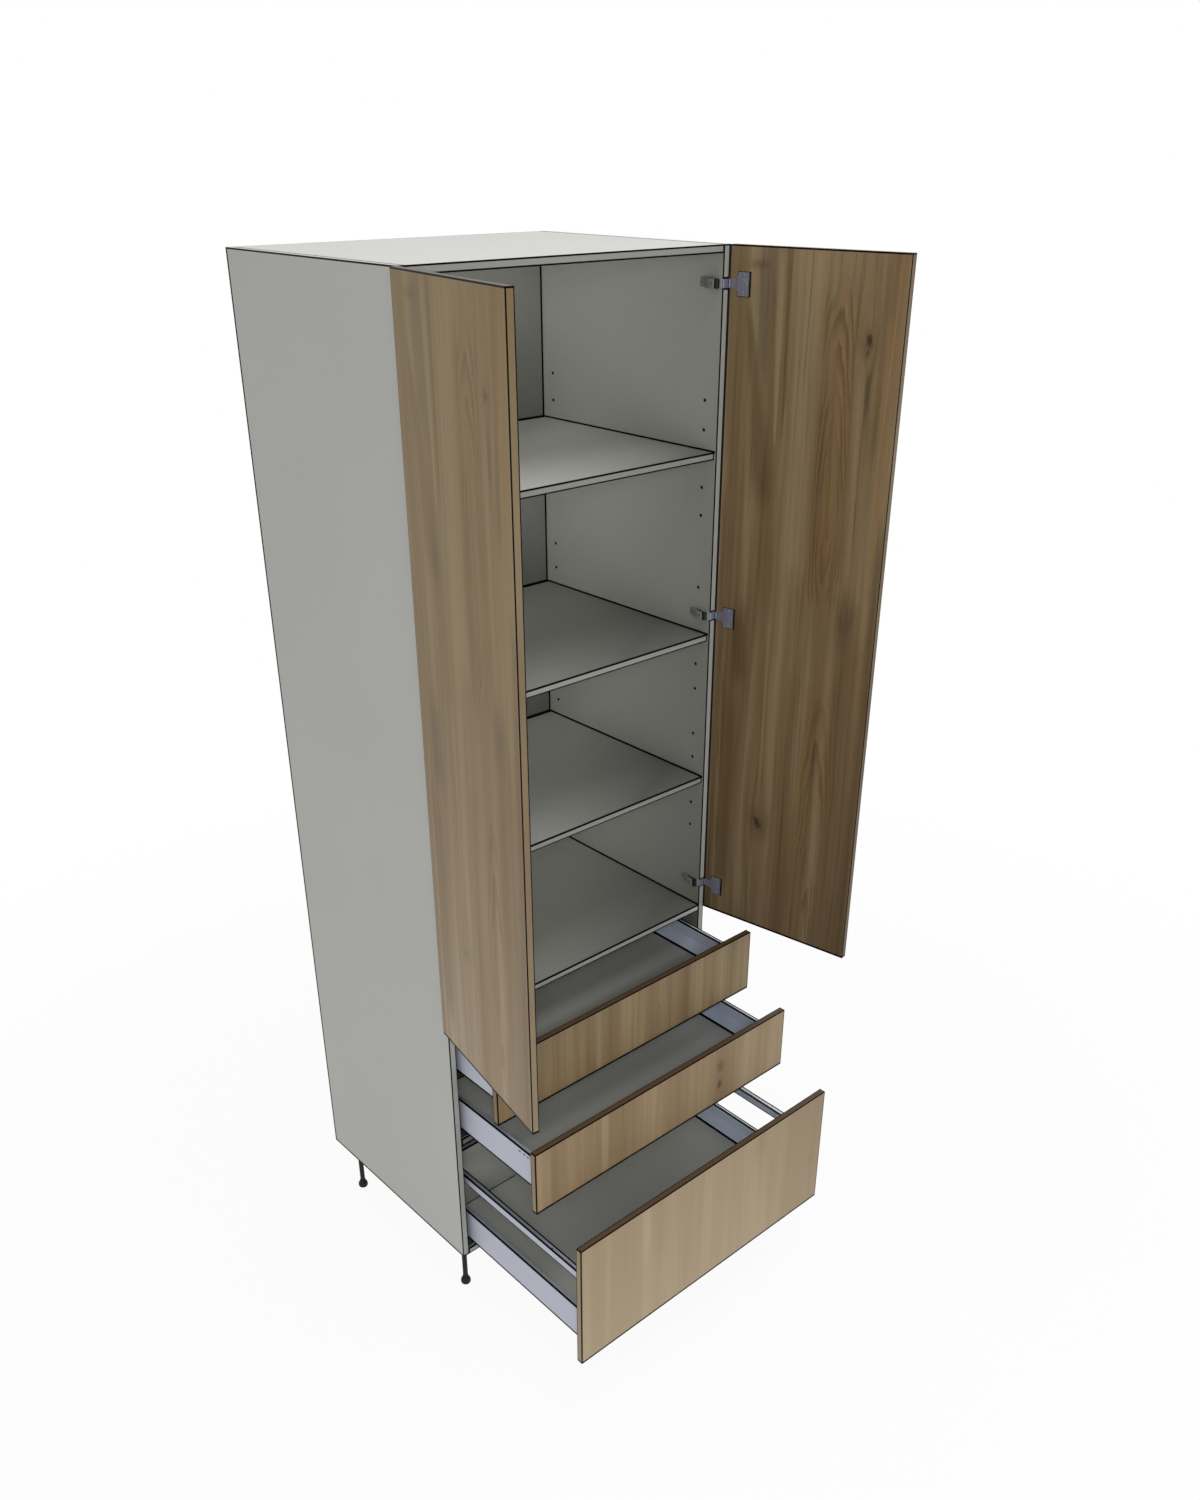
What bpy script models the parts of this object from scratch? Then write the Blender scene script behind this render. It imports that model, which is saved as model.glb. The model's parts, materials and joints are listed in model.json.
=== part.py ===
# Tall pantry cabinet: a carcass on four legs, two overlay doors above three drawers.
# Metres, +Z up. The floor is z = 0, x = 0 is the middle, and the cabinet opens towards -Y.
# The origin lies under the middle of the whole object, with its drawers pulled out as modelled.

from math import cos, pi, radians, sin

import bmesh
import bpy
from mathutils import Matrix, Vector
from mathutils.geometry import tessellate_polygon

# Gaps
TOUCH_GAP = 0.0003          # left between two pieces that touch
CUT_OVERRUN = 0.002         # how far a cutter passes the face it cuts through

# Carcass
CARCASS_WIDTH = 0.8
CARCASS_DEPTH = 0.58
CARCASS_HEIGHT = 2.214
BOARD = 0.016
BACK_THICKNESS = 0.004
SHELF_SETBACK = 0.006       # front edge of a loose shelf behind the carcass front
SHELF_SIDE_GAP = 0.0005
SHELF_BACK_GAP = 0.006
SHELF_RISE = 0.008          # top of the fixed shelf above the doors' lower edges
RAIL_HEIGHT = 0.018
RAIL_DEPTH = 0.09
RAIL_DROP = 0.002           # lower face of the rail below the middle front's lower edge
shelfHeightShares = (0.236, 0.473, 0.742)   # of the clear height behind the doors

# Shelf pins and their holes
PIN_RADIUS = 0.0025
PIN_REACH = 0.008
HOLE_DEPTH = 0.01
HOLE_PITCH = 0.061
HOLES_EACH_WAY = 2
PIN_SIDES = 8
PIN_INSET = 0.04            # pin columns from the carcass front and back

# Legs
LEG_HEIGHT = 0.15
LEG_SIDE_INSET = 0.038
LEG_END_INSET = 0.054
LEG_STEM_RADIUS = 0.006
LEG_FOOT_RADIUS = 0.0125
LEG_FOOT_HEIGHT = 0.007
LEG_BULB_HEIGHT = 0.02
LEG_SOCKET_RADIUS = 0.012
LEG_SOCKET_HEIGHT = 0.03
LEG_FLANGE_RADIUS = 0.03
LEG_FLANGE_THICKNESS = 0.004
LEG_SIDES = 20

# Fronts and doors
FRONT_THICKNESS = 0.016
FRONT_REVEAL = 0.0015       # a front's edge inside the carcass side, and half a door gap
FRONT_GAP = 0.003           # between one front and the next above it
FRONT_SPACE = 0.002         # between a closed front and the carcass
FRONT_CHAMFER = 0.0006
DOOR_OPEN_ANGLE = radians(100)

# Hinges
PIVOT_INSET = 0.00046       # pivot axis inside the carcass side face
PIVOT_DROP = 0.0035         # pivot axis in front of the carcass front
HINGE_END_INSET = 0.0725    # end hinges from the ends of a door
KNUCKLE_RADIUS = 0.0026
KNUCKLE_BORE = 0.0015
HINGE_PIN_RADIUS = 0.0012
HINGE_PIN_OVERHANG = 0.001
KNUCKLE_HALF_HEIGHT = 0.0045
HINGE_HALF_HEIGHT = 0.0085
ROUND_SIDES = 16
STRIP_THICKNESS = 0.0014    # strip across the carcass edge
STRIP_CUTBACK = 0.003       # strip's end from the pivot axis beside the moving knuckle
ROOT_THICKNESS = 0.0032
ARM_WIDTH = 0.0137          # arm's height off the carcass side
ARM_FRONT = 0.001           # arm's front end behind the carcass front
ARM_LENGTH = 0.061
ARM_SLOPE = 0.0035
PLATE_THICKNESS = 0.0025
PLATE_START = 0.022
PLATE_LENGTH = 0.03
PLATE_HALF_HEIGHT = 0.0105
STRAP_THICKNESS = 0.0016
STRAP_START = 0.0022        # wide part of the strap from the door's edge
STRAP_HALF_WIDE = 0.011
FLANGE_START = 0.019
FLANGE_WIDTH = 0.027
FLANGE_HALF_HEIGHT = 0.0225
FLANGE_THICKNESS = 0.0012
CUP_RADIUS = 0.013
CUP_DEPTH = 0.0115
CUP_SIDES = 24

# Drawers
TOP_FRONT_HEIGHT = 0.165
MIDDLE_FRONT_HEIGHT = 0.165
BOTTOM_FRONT_HEIGHT = 0.336
TOP_OUT = 0.15              # back of the front from the carcass front, as modelled
MIDDLE_OUT = 0.275
BOTTOM_OUT = 0.42
SIDE_SPACE = 0.0125         # drawer side from the carcass side
SIDE_LIFT = 0.032           # lower edge of a drawer side above the front's lower edge
SIDE_HEIGHT = 0.086
SIDE_WIDTH = 0.01
SIDE_CUTBACK = 0.007        # drawer side shorter than its runner
SIDE_SHEET = 0.0015
SIDE_BEND_DROP = 0.034      # where the inner wall starts to slope, below the top
LEDGE_WIDTH = 0.0247        # outer face of a side to the face beside the bottom board
LEDGE_FLANGE = 0.0118
TRAY_LIFT = 0.038           # underside of the bottom board above the front's lower edge
TRAY_BOARD = 0.016
TRAY_SETBACK = 0.012        # bottom board ends before the drawer side does
TRAY_BACK_END_GAP = 0.0005
LOW_BACK_HEIGHT = 0.064
TALL_BACK_HEIGHT = 0.175
WEB_LIFT = 0.0114           # web that rides on the slide, above the side's lower edge
HOLDER_LENGTH = 0.03
GALLERY_INSET = 0.0015
GALLERY_WIDTH = 0.014
GALLERY_HEIGHT = 0.022
GALLERY_LIFT = 0.086        # above the top of the drawer side
GALLERY_WALL = 0.0012

# Runners
RUNNER_SHEET = 0.0015
RUNNER_LIFT = 0.02          # above the front's lower edge
RUNNER_FLANGE_HEIGHT = 0.04
RUNNER_INSET = 0.003        # front end behind the carcass front
RUNNER_BACK_SPACE = 0.028   # runner's back end to the back panel
TRACK_THICKNESS = 0.002
TRACK_FROM_SIDE = 0.0205    # track wall from the carcass side
RUNNING_GAP = 0.0004
SLIDE_SHEET = 0.0016
SLIDE_SIDE_GAP = 0.0007
SLIDE_DEPTH = 0.01
SLIDE_START = 0.02
SLIDE_CUTBACK = 0.038       # slide shorter than the drawer side
SLIDE_SHARE = 0.5           # of the drawer's own travel

# Places worked out from the sizes
outerX = CARCASS_WIDTH / 2
innerX = outerX - BOARD
bottomZ = LEG_HEIGHT
topZ = bottomZ + CARCASS_HEIGHT
frontY = (BOTTOM_OUT + FRONT_THICKNESS - CARCASS_DEPTH) / 2
backY = frontY + CARCASS_DEPTH
backPanelY = backY - BACK_THICKNESS
frontHalfWidth = outerX - FRONT_REVEAL
bottomFrontZ = bottomZ + FRONT_GAP
middleFrontZ = bottomFrontZ + BOTTOM_FRONT_HEIGHT + FRONT_GAP
topFrontZ = middleFrontZ + MIDDLE_FRONT_HEIGHT + FRONT_GAP
doorZ = topFrontZ + TOP_FRONT_HEIGHT + FRONT_GAP
doorHeight = topZ - doorZ
doorWidth = frontHalfWidth - FRONT_REVEAL
fixedShelfTop = doorZ + SHELF_RISE
clearHeight = topZ - BOARD - fixedShelfTop
runnerLength = CARCASS_DEPTH - BACK_THICKNESS - RUNNER_INSET - RUNNER_BACK_SPACE
sideLength = runnerLength - SIDE_CUTBACK
trayLength = sideLength - TRAY_SETBACK
slideLength = sideLength - SLIDE_CUTBACK
hingeHeights = {
    "top": topZ - HINGE_END_INSET,
    "middle": doorZ + doorHeight / 2,
    "bottom": doorZ + HINGE_END_INSET,
}

SMOOTH_ANGLE = radians(35)   # edges sharper than this stay sharp on round pieces

# Finishes: colour, roughness, metallic
finishes = {
    "laminate": ((0.4, 0.41, 0.37), 0.55, 0.0),
    "veneer": ((0.31, 0.23, 0.15), 0.5, 0.0),
    "coatedSteel": ((0.38, 0.4, 0.46), 0.4, 0.0),
    "zincSteel": ((0.45, 0.46, 0.48), 0.35, 0.9),
    "nickel": ((0.4, 0.41, 0.46), 0.3, 0.9),
    "blackPlastic": ((0.012, 0.012, 0.012), 0.45, 0.0),
}


def clear_scene():
    for item in list(bpy.data.objects):
        bpy.data.objects.remove(item, do_unlink=True)


def make_material(name, finish):
    colour, roughness, metallic = finishes[finish]
    material = bpy.data.materials.new(name)
    material.use_nodes = True
    shader = material.node_tree.nodes["Principled BSDF"]
    shader.inputs["Base Color"].default_value = (*colour, 1)
    shader.inputs["Roughness"].default_value = roughness
    shader.inputs["Metallic"].default_value = metallic
    return material


def mesh_of(work):
    bmesh.ops.recalc_face_normals(work, faces=work.faces)
    mesh = bpy.data.meshes.new("shape")
    work.to_mesh(mesh)
    work.free()
    return mesh


def box_mesh(low, high, chamfer=0.0):
    low, high = Vector(low), Vector(high)
    work = bmesh.new()
    bmesh.ops.create_cube(work, size=1)
    bmesh.ops.scale(work, vec=high - low, verts=work.verts)
    bmesh.ops.translate(work, vec=(low + high) / 2, verts=work.verts)
    if chamfer:
        bmesh.ops.bevel(work, geom=work.edges[:], offset=chamfer, segments=1, affect="EDGES")
    return mesh_of(work)


def cylinder_mesh(spots, radius, depth, sides, turn=None):
    """Equal cylinders centred on the spots, along Z, or turned first."""
    work = bmesh.new()
    for spot in spots:
        matrix = Matrix.Translation(spot)
        if turn:
            matrix = matrix @ turn
        bmesh.ops.create_cone(
            work, cap_ends=True, segments=sides, radius1=radius, radius2=radius,
            depth=depth, matrix=matrix)
    return mesh_of(work)


def prism_mesh(outline, start, end, place, hole=None):
    """Outline, less its hole, run from start to end. place(u, v, w) gives the point in space."""
    work = bmesh.new()
    loops = [outline] if hole is None else [outline, hole]
    flat = [[Vector((u, v, 0)) for u, v in loop] for loop in loops]
    ends = []
    for w in (start, end):
        ends.append([[work.verts.new(place(u, v, w)) for u, v in loop] for loop in loops])
    for near, far in zip(*ends):
        count = len(near)
        for i in range(count):
            j = (i + 1) % count
            work.faces.new((near[i], near[j], far[j], far[i]))
    triangles = tessellate_polygon(flat)
    for cap in ends:
        verts = [vert for loop in cap for vert in loop]
        for triangle in triangles:
            work.faces.new([verts[i] for i in triangle])
    return mesh_of(work)


def turned_mesh(profile, sides):
    """Closed solid turned about Z from (radius, height) points that start and end on the axis."""
    work = bmesh.new()
    rings = []
    for radius, height in profile:
        if radius == 0:
            rings.append([work.verts.new((0, 0, height))])
            continue
        angles = [2 * pi * i / sides for i in range(sides)]
        rings.append([work.verts.new((radius * cos(a), radius * sin(a), height)) for a in angles])
    for lower, upper in zip(rings, rings[1:]):
        for i in range(sides):
            j = (i + 1) % sides
            corners = [lower[i % len(lower)], lower[j % len(lower)]]
            corners += [upper[j % len(upper)], upper[i % len(upper)]]
            work.faces.new(list(dict.fromkeys(corners)))
    return mesh_of(work)


def combined(base, others, operation):
    """The base mesh after one exact Boolean with each of the others."""
    collection = bpy.context.scene.collection
    carrier = bpy.data.objects.new("carrier", base)
    helpers = [carrier]
    for other in others:
        tool = bpy.data.objects.new("tool", other)
        step = carrier.modifiers.new("step", "BOOLEAN")
        step.operation = operation
        step.solver = "EXACT"
        step.object = tool
        helpers.append(tool)
    for helper in helpers:
        collection.objects.link(helper)
    graph = bpy.context.evaluated_depsgraph_get()
    result = bpy.data.meshes.new_from_object(carrier.evaluated_get(graph))
    for helper in helpers:
        bpy.data.objects.remove(helper)
    return result


def mirrored(mesh):
    """The same shape for the other hand."""
    work = bmesh.new()
    work.from_mesh(mesh)
    bmesh.ops.scale(work, vec=(-1, 1, 1), verts=work.verts)
    return mesh_of(work)


def handed(mesh, side):
    return mesh if side > 0 else mirrored(mesh)


def add_piece(name, mesh, finish, parent=None, location=(0, 0, 0), smooth=False):
    piece_mesh = mesh.copy()
    piece_mesh.name = name
    piece_mesh.materials.clear()
    piece_mesh.materials.append(make_material(name, finish))
    if smooth:
        piece_mesh.shade_smooth()
        piece_mesh.set_sharp_from_angle(angle=SMOOTH_ANGLE)
    piece = bpy.data.objects.new(name, piece_mesh)
    bpy.context.scene.collection.objects.link(piece)
    piece.location = location
    piece.parent = parent
    return piece


def add_frame(name, location):
    frame = bpy.data.objects.new(name, None)
    bpy.context.scene.collection.objects.link(frame)
    frame.location = location
    return frame


def shelf_tops():
    return [fixedShelfTop + share * clearHeight for share in shelfHeightShares]


def side_panel_mesh():
    """Right side: a board with rows of pin holes, and a pressed-in pin under each loose shelf."""
    board = box_mesh((innerX, frontY, bottomZ), (outerX, backY, topZ))
    across = Matrix.Rotation(pi / 2, 4, "Y")
    columns = (frontY + PIN_INSET, backY - PIN_INSET)
    steps = [i for i in range(-HOLES_EACH_WAY, HOLES_EACH_WAY + 1) if i]
    holes, pins = [], []
    for top in shelf_tops():
        pinZ = top - BOARD - TOUCH_GAP - PIN_RADIUS
        for y in columns:
            pins.append((innerX - PIN_REACH / 2 + HOLE_DEPTH / 2, y, pinZ))
            holes += [(innerX + (HOLE_DEPTH - CUT_OVERRUN) / 2, y, pinZ + i * HOLE_PITCH) for i in steps]
    cutter = cylinder_mesh(holes, PIN_RADIUS, HOLE_DEPTH + CUT_OVERRUN, PIN_SIDES, across)
    stubs = cylinder_mesh(pins, PIN_RADIUS, HOLE_DEPTH + PIN_REACH, PIN_SIDES, across)
    return combined(combined(board, [cutter], "DIFFERENCE"), [stubs], "UNION")


def build_carcass():
    side = side_panel_mesh()
    add_piece("left_side", handed(side, -1), "laminate")
    add_piece("right_side", side, "laminate")
    halfWidth = innerX - TOUCH_GAP
    add_piece("bottom_panel", box_mesh(
        (-halfWidth, frontY, bottomZ), (halfWidth, backY, bottomZ + BOARD)), "laminate")
    add_piece("top_panel", box_mesh(
        (-halfWidth, frontY, topZ - BOARD), (halfWidth, backY, topZ)), "laminate")
    add_piece("back_panel", box_mesh(
        (-halfWidth, backPanelY, bottomZ + BOARD + TOUCH_GAP),
        (halfWidth, backY, topZ - BOARD - TOUCH_GAP)), "laminate")
    shelfBack = backPanelY - TOUCH_GAP
    add_piece("fixed_shelf", box_mesh(
        (-halfWidth, frontY, fixedShelfTop - BOARD), (halfWidth, shelfBack, fixedShelfTop)), "laminate")
    railZ = middleFrontZ - RAIL_DROP
    add_piece("stretcher_rail", box_mesh(
        (-halfWidth, frontY, railZ), (halfWidth, frontY + RAIL_DEPTH, railZ + RAIL_HEIGHT)), "laminate")
    looseHalf = innerX - SHELF_SIDE_GAP
    for name, top in zip(("lower_shelf", "middle_shelf", "upper_shelf"), shelf_tops()):
        add_piece(name, box_mesh(
            (-looseHalf, frontY + SHELF_SETBACK, top - BOARD),
            (looseHalf, backPanelY - SHELF_BACK_GAP, top), FRONT_CHAMFER), "laminate")


def build_legs():
    top = LEG_HEIGHT - TOUCH_GAP
    flange = top - LEG_FLANGE_THICKNESS
    socket = flange - LEG_SOCKET_HEIGHT
    profile = (
        (0, 0), (LEG_FOOT_RADIUS, 0), (LEG_FOOT_RADIUS, LEG_FOOT_HEIGHT),
        (LEG_STEM_RADIUS, LEG_BULB_HEIGHT), (LEG_STEM_RADIUS, socket),
        (LEG_SOCKET_RADIUS, socket), (LEG_SOCKET_RADIUS, flange),
        (LEG_FLANGE_RADIUS, flange), (LEG_FLANGE_RADIUS, top), (0, top))
    leg = turned_mesh(profile, LEG_SIDES)
    legX = outerX - LEG_SIDE_INSET
    for end, y in (("front", frontY + LEG_END_INSET), ("back", backY - LEG_END_INSET)):
        for hand, side in (("left", -1), ("right", 1)):
            add_piece(f"leg_{end}_{hand}", leg, "blackPlastic", location=(side * legX, y, 0), smooth=True)


# Right-hand hinge shapes stand on the pivot axis: x outwards, y into the carcass, door closed.
panelX = PIVOT_INSET - BOARD
panelY = PIVOT_DROP
doorEdgeX = PIVOT_INSET - FRONT_REVEAL
doorFaceY = PIVOT_DROP - FRONT_SPACE
pinHalf = HINGE_HALF_HEIGHT + HINGE_PIN_OVERHANG


def from_edge(distance):
    return doorEdgeX - distance


def hinge_arm_mesh():
    """Fixed half: arm and plate on the carcass side, strip across its edge, outer knuckles and pin."""
    faceX = panelX - TOUCH_GAP
    stripBack = panelY - TOUCH_GAP
    stripFront = stripBack - STRIP_THICKNESS
    rootX = faceX - ROOT_THICKNESS
    armX = faceX - ARM_WIDTH
    armY = panelY + ARM_FRONT
    armEnd = armY + ARM_LENGTH
    outline = (
        (rootX, stripFront), (-STRIP_CUTBACK, stripFront), (-STRIP_CUTBACK, stripBack),
        (faceX, stripBack), (faceX, armEnd), (armX, armEnd - ARM_SLOPE),
        (armX, armY + ARM_SLOPE), (armX + ARM_SLOPE, armY), (rootX, armY))
    arm = prism_mesh(outline, -HINGE_HALF_HEIGHT, HINGE_HALF_HEIGHT, lambda u, v, w: (u, v, w))
    plateY = panelY + PLATE_START
    plate = box_mesh(
        (faceX - PLATE_THICKNESS, plateY, -PLATE_HALF_HEIGHT),
        (faceX, plateY + PLATE_LENGTH, PLATE_HALF_HEIGHT))
    extras = [plate]
    clearZ = KNUCKLE_HALF_HEIGHT + TOUCH_GAP
    for low, high in ((-HINGE_HALF_HEIGHT, -clearZ), (clearZ, HINGE_HALF_HEIGHT)):
        extras.append(box_mesh(
            (-STRIP_CUTBACK - CUT_OVERRUN, stripFront, low), (0, stripBack, high)))
        extras.append(cylinder_mesh([(0, 0, (low + high) / 2)], KNUCKLE_RADIUS, high - low, ROUND_SIDES))
    extras.append(cylinder_mesh([(0, 0, 0)], HINGE_PIN_RADIUS, 2 * pinHalf, ROUND_SIDES))
    return combined(arm, extras, "UNION")


def strap_outline(margin):
    """Strap seen from the door's face: distance from the edge, and height."""
    start, end = STRAP_START - margin, FLANGE_START + CUP_RADIUS / 2
    near, far = HINGE_HALF_HEIGHT + margin, STRAP_HALF_WIDE + margin
    return ((start, -near), (end, -far), (end, far), (start, near))


def on_door(u, v, w):
    """Point on the closed door: distance from its edge, height, and depth below its inner face."""
    return from_edge(u), doorFaceY - w, v


def hinge_leaf_mesh():
    """Moving half: flange and cup on the door, strap along it, and the middle knuckle."""
    flangeTop = doorFaceY + TOUCH_GAP + FLANGE_THICKNESS
    flange = box_mesh(
        (from_edge(FLANGE_START + FLANGE_WIDTH), doorFaceY + TOUCH_GAP, -FLANGE_HALF_HEIGHT),
        (from_edge(FLANGE_START), flangeTop, FLANGE_HALF_HEIGHT))
    cupX = from_edge(FLANGE_START + FLANGE_WIDTH / 2)
    cupEnd = doorFaceY - CUP_DEPTH + TOUCH_GAP
    cupTop = flangeTop - FLANGE_THICKNESS / 2
    upright = Matrix.Rotation(pi / 2, 4, "X")
    cup = cylinder_mesh(
        [(cupX, (cupTop + cupEnd) / 2, 0)], CUP_RADIUS, cupTop - cupEnd, CUP_SIDES, upright)
    strap = prism_mesh(strap_outline(0), 0, STRAP_THICKNESS, on_door)
    neck = box_mesh(
        (from_edge(STRAP_START + STRAP_THICKNESS), doorFaceY - STRAP_THICKNESS, -KNUCKLE_HALF_HEIGHT),
        (0, doorFaceY, KNUCKLE_HALF_HEIGHT))
    knuckle = cylinder_mesh([(0, 0, 0)], KNUCKLE_RADIUS, 2 * KNUCKLE_HALF_HEIGHT, ROUND_SIDES)
    bore = cylinder_mesh([(0, 0, 0)], KNUCKLE_BORE, 2 * pinHalf, ROUND_SIDES)
    return combined(combined(flange, [cup, strap, neck, knuckle], "UNION"), [bore], "DIFFERENCE")


def door_mesh():
    """Closed door about its pivot axis, with the pocket, channel and knuckle notch of each hinge."""
    slab = box_mesh(
        (from_edge(doorWidth), doorFaceY - FRONT_THICKNESS, doorZ),
        (doorEdgeX, doorFaceY, topZ), FRONT_CHAMFER)
    cupX = from_edge(FLANGE_START + FLANGE_WIDTH / 2)
    upright = Matrix.Rotation(pi / 2, 4, "X")
    notchHalf = pinHalf + TOUCH_GAP
    notchDepth = doorFaceY + KNUCKLE_RADIUS + TOUCH_GAP
    cutters = []
    for z in hingeHeights.values():
        pocketY = doorFaceY - (CUP_DEPTH - CUT_OVERRUN) / 2
        cutters.append(cylinder_mesh(
            [(cupX, pocketY, z)], CUP_RADIUS + TOUCH_GAP, CUP_DEPTH + CUT_OVERRUN, CUP_SIDES, upright))
        cutters.append(prism_mesh(
            strap_outline(TOUCH_GAP), -CUT_OVERRUN, STRAP_THICKNESS + TOUCH_GAP,
            lambda u, v, w, z=z: on_door(u, v + z, w)))
        cutters.append(box_mesh(
            (from_edge(STRAP_START), doorFaceY - notchDepth, z - notchHalf),
            (doorEdgeX + CUT_OVERRUN, doorFaceY + CUT_OVERRUN, z + notchHalf)))
    return combined(slab, cutters, "DIFFERENCE")


def build_doors():
    pivotX = outerX - PIVOT_INSET
    pivotY = frontY - PIVOT_DROP
    arm, leaf, door = hinge_arm_mesh(), hinge_leaf_mesh(), door_mesh()
    for hand, side in (("left", -1), ("right", 1)):
        frame = add_frame(f"{hand}_door_pivot", (side * pivotX, pivotY, 0))
        frame.rotation_euler.z = side * DOOR_OPEN_ANGLE
        add_piece(f"{hand}_door", handed(door, side), "veneer", frame)
        for level, z in hingeHeights.items():
            add_piece(f"{hand}_hinge_leaf_{level}", handed(leaf, side), "nickel", frame, (0, 0, z), True)
            add_piece(f"{hand}_hinge_arm_{level}", handed(arm, side), "nickel", None,
                      (side * pivotX, pivotY, z), True)


def drawer_side_outline():
    """Section of the left drawer side: inwards from its outer face, up from the front's lower edge."""
    low, high = SIDE_LIFT, SIDE_LIFT + SIDE_HEIGHT
    bend = high - SIDE_BEND_DROP
    ledge = TRAY_LIFT + TRAY_BOARD + TOUCH_GAP
    flange = TRAY_LIFT - TOUCH_GAP
    web = low + WEB_LIFT
    wall = LEDGE_WIDTH - SIDE_SHEET
    outline = (
        (0, low), (0, high), (SIDE_WIDTH, high), (SIDE_WIDTH, bend), (LEDGE_WIDTH, ledge),
        (LEDGE_WIDTH, flange), (LEDGE_WIDTH + LEDGE_FLANGE, flange),
        (LEDGE_WIDTH + LEDGE_FLANGE, flange - SIDE_SHEET), (wall, flange - SIDE_SHEET),
        (wall, web), (SIDE_SHEET, web), (SIDE_SHEET, low))
    hollow = (
        (SIDE_SHEET, web + SIDE_SHEET), (SIDE_SHEET, high - SIDE_SHEET),
        (SIDE_WIDTH - SIDE_SHEET, high - SIDE_SHEET), (SIDE_WIDTH - SIDE_SHEET, bend),
        (wall, ledge), (wall, web + SIDE_SHEET))
    return outline, hollow


def drawer_side_mesh(tall):
    """Left drawer side, with a holder for the tall back and the gallery rail on the deep drawer."""
    sideX = -innerX + SIDE_SPACE
    outline, hollow = drawer_side_outline()
    side = prism_mesh(
        outline, TOUCH_GAP, sideLength, lambda u, v, w: (sideX + u, w, v), hollow)
    if not tall:
        return side
    top = SIDE_LIFT + SIDE_HEIGHT
    holder = box_mesh(
        (sideX, sideLength - HOLDER_LENGTH, top - SIDE_SHEET / 2),
        (sideX + SIDE_WIDTH, sideLength, TRAY_LIFT + TRAY_BOARD + TALL_BACK_HEIGHT))
    return combined(side, [holder], "UNION")


def gallery_mesh():
    """Left gallery rail: a rectangular tube from the front to the holder."""
    left = -innerX + SIDE_SPACE + GALLERY_INSET
    right = left + GALLERY_WIDTH
    low = SIDE_LIFT + SIDE_HEIGHT + GALLERY_LIFT
    high = low + GALLERY_HEIGHT
    wall = GALLERY_WALL
    outline = ((left, low), (left, high), (right, high), (right, low))
    hollow = (
        (left + wall, low + wall), (left + wall, high - wall),
        (right - wall, high - wall), (right - wall, low + wall))
    end = sideLength - HOLDER_LENGTH - TOUCH_GAP
    return prism_mesh(outline, TOUCH_GAP, end, lambda u, v, w: (u, w, v), hollow)


def runner_mesh():
    """Left cabinet runner: a flange on the carcass side, a floor, and the track wall."""
    face = -innerX + TOUCH_GAP
    track = -innerX + TRACK_FROM_SIDE
    low = RUNNER_LIFT
    trackTop = SIDE_LIFT + WEB_LIFT - RUNNING_GAP - SLIDE_SHEET - RUNNING_GAP
    outline = (
        (face, low), (face, low + RUNNER_FLANGE_HEIGHT),
        (face + RUNNER_SHEET, low + RUNNER_FLANGE_HEIGHT), (face + RUNNER_SHEET, low + RUNNER_SHEET),
        (track, low + RUNNER_SHEET), (track, trackTop),
        (track + TRACK_THICKNESS, trackTop), (track + TRACK_THICKNESS, low))
    return prism_mesh(outline, 0, runnerLength, lambda u, v, w: (u, w, v))


def slide_mesh():
    """Left slide: a channel that caps the track and carries the web of the drawer side."""
    left = -innerX + TRACK_FROM_SIDE - SLIDE_SIDE_GAP
    right = left + TRACK_THICKNESS + 2 * SLIDE_SIDE_GAP
    top = SIDE_LIFT + WEB_LIFT - RUNNING_GAP
    low = top - SLIDE_DEPTH
    sheet = SLIDE_SHEET
    outline = (
        (left - sheet, low), (left - sheet, top), (right + sheet, top), (right + sheet, low),
        (right, low), (right, top - sheet), (left, top - sheet), (left, low))
    return prism_mesh(outline, 0, slideLength, lambda u, v, w: (u, w, v))


def build_drawer(name, frontZ, frontHeight, out, backHeight, tall):
    frame = add_frame(f"{name}_drawer_frame", (0, frontY - out, frontZ))
    travel = out - FRONT_SPACE
    slideY = frontY + SLIDE_START - travel * SLIDE_SHARE
    slideFrame = add_frame(f"{name}_slide_frame", (0, slideY, frontZ))
    add_piece(f"{name}_drawer_front", box_mesh(
        (-frontHalfWidth, -FRONT_THICKNESS, 0),
        (frontHalfWidth, 0, frontHeight), FRONT_CHAMFER), "veneer", frame)
    trayHalf = innerX - SIDE_SPACE - LEDGE_WIDTH - TOUCH_GAP
    trayTop = TRAY_LIFT + TRAY_BOARD
    add_piece(f"{name}_drawer_bottom", box_mesh(
        (-trayHalf, TOUCH_GAP, TRAY_LIFT), (trayHalf, trayLength, trayTop)), "laminate", frame)
    backHalf = trayHalf - TRAY_BACK_END_GAP
    add_piece(f"{name}_drawer_back", box_mesh(
        (-backHalf, trayLength - TRAY_BOARD, trayTop + TOUCH_GAP),
        (backHalf, trayLength, trayTop + backHeight)), "laminate", frame)
    sideMesh, railMesh, slideMesh = drawer_side_mesh(tall), runner_mesh(), slide_mesh()
    for hand, side in (("left", 1), ("right", -1)):
        add_piece(f"{name}_drawer_{hand}_side", handed(sideMesh, side), "coatedSteel", frame)
        add_piece(f"{name}_{hand}_runner", handed(railMesh, side), "zincSteel", None,
                  (0, frontY + RUNNER_INSET, frontZ))
        add_piece(f"{name}_{hand}_slide", handed(slideMesh, side), "zincSteel", slideFrame)
        if tall:
            add_piece(f"{hand}_gallery_rail", handed(gallery_mesh(), side), "coatedSteel", frame)


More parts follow.
